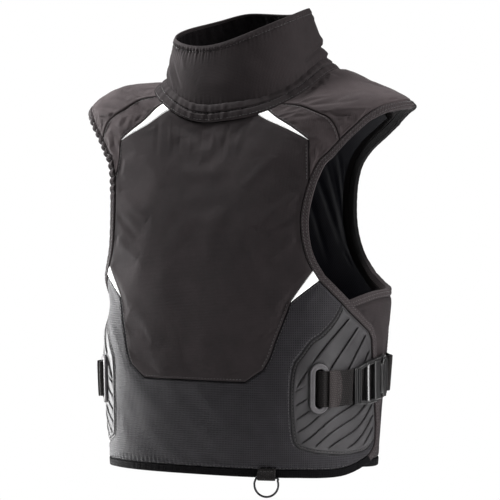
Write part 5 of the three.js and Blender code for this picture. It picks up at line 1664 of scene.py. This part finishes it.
tab_turn = np.radians(np.linspace(180, 360, 40))
tab_back = np.stack([np.linspace(-4.6, -TAB_LOOP, 30), np.linspace(TAB_TOP, 0, 30)], -1)
tab_bow = TAB_LOOP * np.stack([np.cos(tab_turn), np.sin(tab_turn)], -1)
tab_front = curve(np.array([[TAB_LOOP, 0.0], [1.6, 5.0], [-0.9, 8.6], [-1.6, TAB_TOP]]))
tab_path = evenly(np.vstack([tab_back[:-1], tab_bow, tab_front[1:]]), 120)
tab_travel = unit(np.gradient(tab_path, axis=0))
tab_section = oblong(32, TAB_WIDTH, TAB_THICK, 6.0)
tab_out = tab_path[:, :1] + tab_travel[:, 1:] * tab_section[None, :, 1]
tab_height = tab_path[:, 1:] - tab_travel[:, :1] * tab_section[None, :, 1]
tab_points = tab_point(np.broadcast_to(tab_section[None, :, 0], tab_out.shape), tab_out, tab_height)
tab = skin("ring_tab_webbing", tab_points, webbing)
dress(tab, "webbing", "ring_tab")
tab_row_along = np.linspace(-TAB_WIDTH / 2, TAB_WIDTH / 2, 30)
tab_row = tab_point(tab_row_along, np.full(30, 0.1), np.full(30, TAB_ROW))
stitching("ring_tab_stitching", [(tab_row, np.broadcast_to(TAB_OUT, (30, 3)))], "webbing")

# Ring
# A ring of black plated steel wire, 37 mm wide, bent to a bow with a straight bar.
# The bar lies in the fold of the tab and turns there.
RING_WIRE, RING_HALF_BAR, RING_RADIUS, RING_DROP = 3.0, 14.0, 17.0, 9.6
RING_BOW = 107.5  # degrees that the bow runs up on each side from its foot


def steel_material(name, dark, light):
    """Black plated steel wire: smooth and shiny, the plating a little worn to grey where the ring rubs."""
    material, tree = new_material(name)
    place = add(tree, "TexCoord").outputs["Object"]
    wear = add(tree, "TexNoise", {"Vector": place, "Scale": MM / 6.25, "Detail": 5})
    shade = add(tree, "ValToRGB", {"Fac": wear}, [(0.5, dark), (0.8, light)])
    return finished(material, {"Base Color": shade, "Metallic": 1.0, "Roughness": 0.3})


steel = steel_material("black plated steel", "#2c2c2e", "#5a5a5c")
ring_turn = np.radians(np.linspace(RING_BOW, -RING_BOW, 80))
ring_bow = np.stack([RING_RADIUS * np.sin(ring_turn), -RING_DROP - RING_RADIUS * np.cos(ring_turn)], -1)
ring_corner = np.array([[-RING_HALF_BAR, 0.0], [RING_HALF_BAR, 0.0]])
ring_path = evenly(curve(np.vstack([ring_corner, ring_bow[::4], ring_corner[:1]])), 241)[:-1]
ring_travel = unit(np.roll(ring_path, -1, axis=0) - np.roll(ring_path, 1, axis=0))
ring_around = np.linspace(0, 2 * np.pi, 20, endpoint=False)
ring_side = RING_WIRE / 2 * np.cos(ring_around)
ring_along = ring_path[:, :1] - ring_travel[:, 1:] * ring_side
ring_height = ring_path[:, 1:] + ring_travel[:, :1] * ring_side
ring_out = np.broadcast_to(RING_WIRE / 2 * np.sin(ring_around), ring_along.shape)
ring = skin("wire_ring", tab_point(ring_along, ring_out, ring_height), steel, closed=True)
dress(ring, "ring_steel", "d_ring", body="ring")

# Floor and light
# A plain pale floor below the hanging vest and soft studio light: strong lights from behind on the camera's
# left, low and high, a weaker one from its right, and faint ones in front and behind, in a white surround.
FLOOR_Z, FLOOR_RADIUS, FLOOR_SIDES = -0.82, 1.9, 128
floor_turn = np.linspace(0, 2 * np.pi, FLOOR_SIDES, endpoint=False)
floor_ring = FLOOR_RADIUS * np.stack([np.cos(floor_turn), np.sin(floor_turn)], -1)
floor_mesh = bpy.data.meshes.new("floor")
floor_mesh.from_pydata([(x, y, FLOOR_Z) for x, y in floor_ring.tolist()], [], [list(range(FLOOR_SIDES))])
floor_paint, floor_tree = new_material("pale studio floor")
floor_place = add(floor_tree, "TexCoord").outputs["Object"]
floor_grain = add(floor_tree, "TexNoise", {"Vector": floor_place, "Scale": MM / 250})
floor_shade = add(floor_tree, "ValToRGB", {"Fac": floor_grain}, [(0.0, "#f0f0f0"), (1.0, "#f6f6f6")])
finished(floor_paint, {
    "Base Color": floor_shade, "Roughness": 0.9, "Emission Color": linear("#ffffff"),
    "Emission Strength": 0.1,
})
floor_mesh.materials.append(floor_paint)
floor = bpy.data.objects.new("floor", floor_mesh)
bpy.context.collection.objects.link(floor)

world = bpy.data.worlds.new("white surround")
world.use_nodes = True
world_tree = world.node_tree
world_tree.nodes.clear()
sight = add(world_tree, "LightPath")
surround = add(world_tree, "Background", {"Color": (1, 1, 1, 1), "Strength": 0.04})
seen = add(world_tree, "Background", {"Color": (1, 1, 1, 1), "Strength": 1.0})
either = add(world_tree, "MixShader", {"Fac": sight.outputs["Is Camera Ray"], 1: surround, 2: seen})
add(world_tree, "OutputWorld", {"Surface": either})
bpy.context.scene.world = world
bpy.context.scene.view_settings.view_transform = "Standard"

# turn from the camera towards its right in degrees, distance, height above the shoulders, size, watts
LIGHTS = {
    "key_left": (-124, 1.9, -0.45, 0.9, 58),
    "hair_left": (-112, 1.2, 1.5, 0.8, 98),
    "top_left": (-66, 0.8, 2.0, 0.8, 8),
    "fill_right": (66, 1.7, 0.65, 0.9, 38),
    "low_right": (52, 1.7, -0.36, 0.5, 8),
    "rear_right": (112, 2.0, 0.2, 0.9, 2),
    "front": (-12, 1.5, 1.2, 0.9, 0.8),
    "back": (176, 2.6, 0.9, 1.4, 10),
}
LIT_MIDDLE = Vector((0, 0, -0.22))
for name, (turn, reach, height, size, watts) in LIGHTS.items():
    light_data = bpy.data.lights.new(name, "AREA")
    light_data.shape = "DISK"
    light_data.size = size
    light_data.energy = watts
    light = bpy.data.objects.new(name, light_data)
    heading = VIEW_TURN + np.radians(turn)
    light.location = (reach * np.sin(heading), -reach * np.cos(heading), height)
    light.rotation_euler = (LIT_MIDDLE - light.location).to_track_quat("-Z", "Y").to_euler()
    bpy.context.collection.objects.link(light)
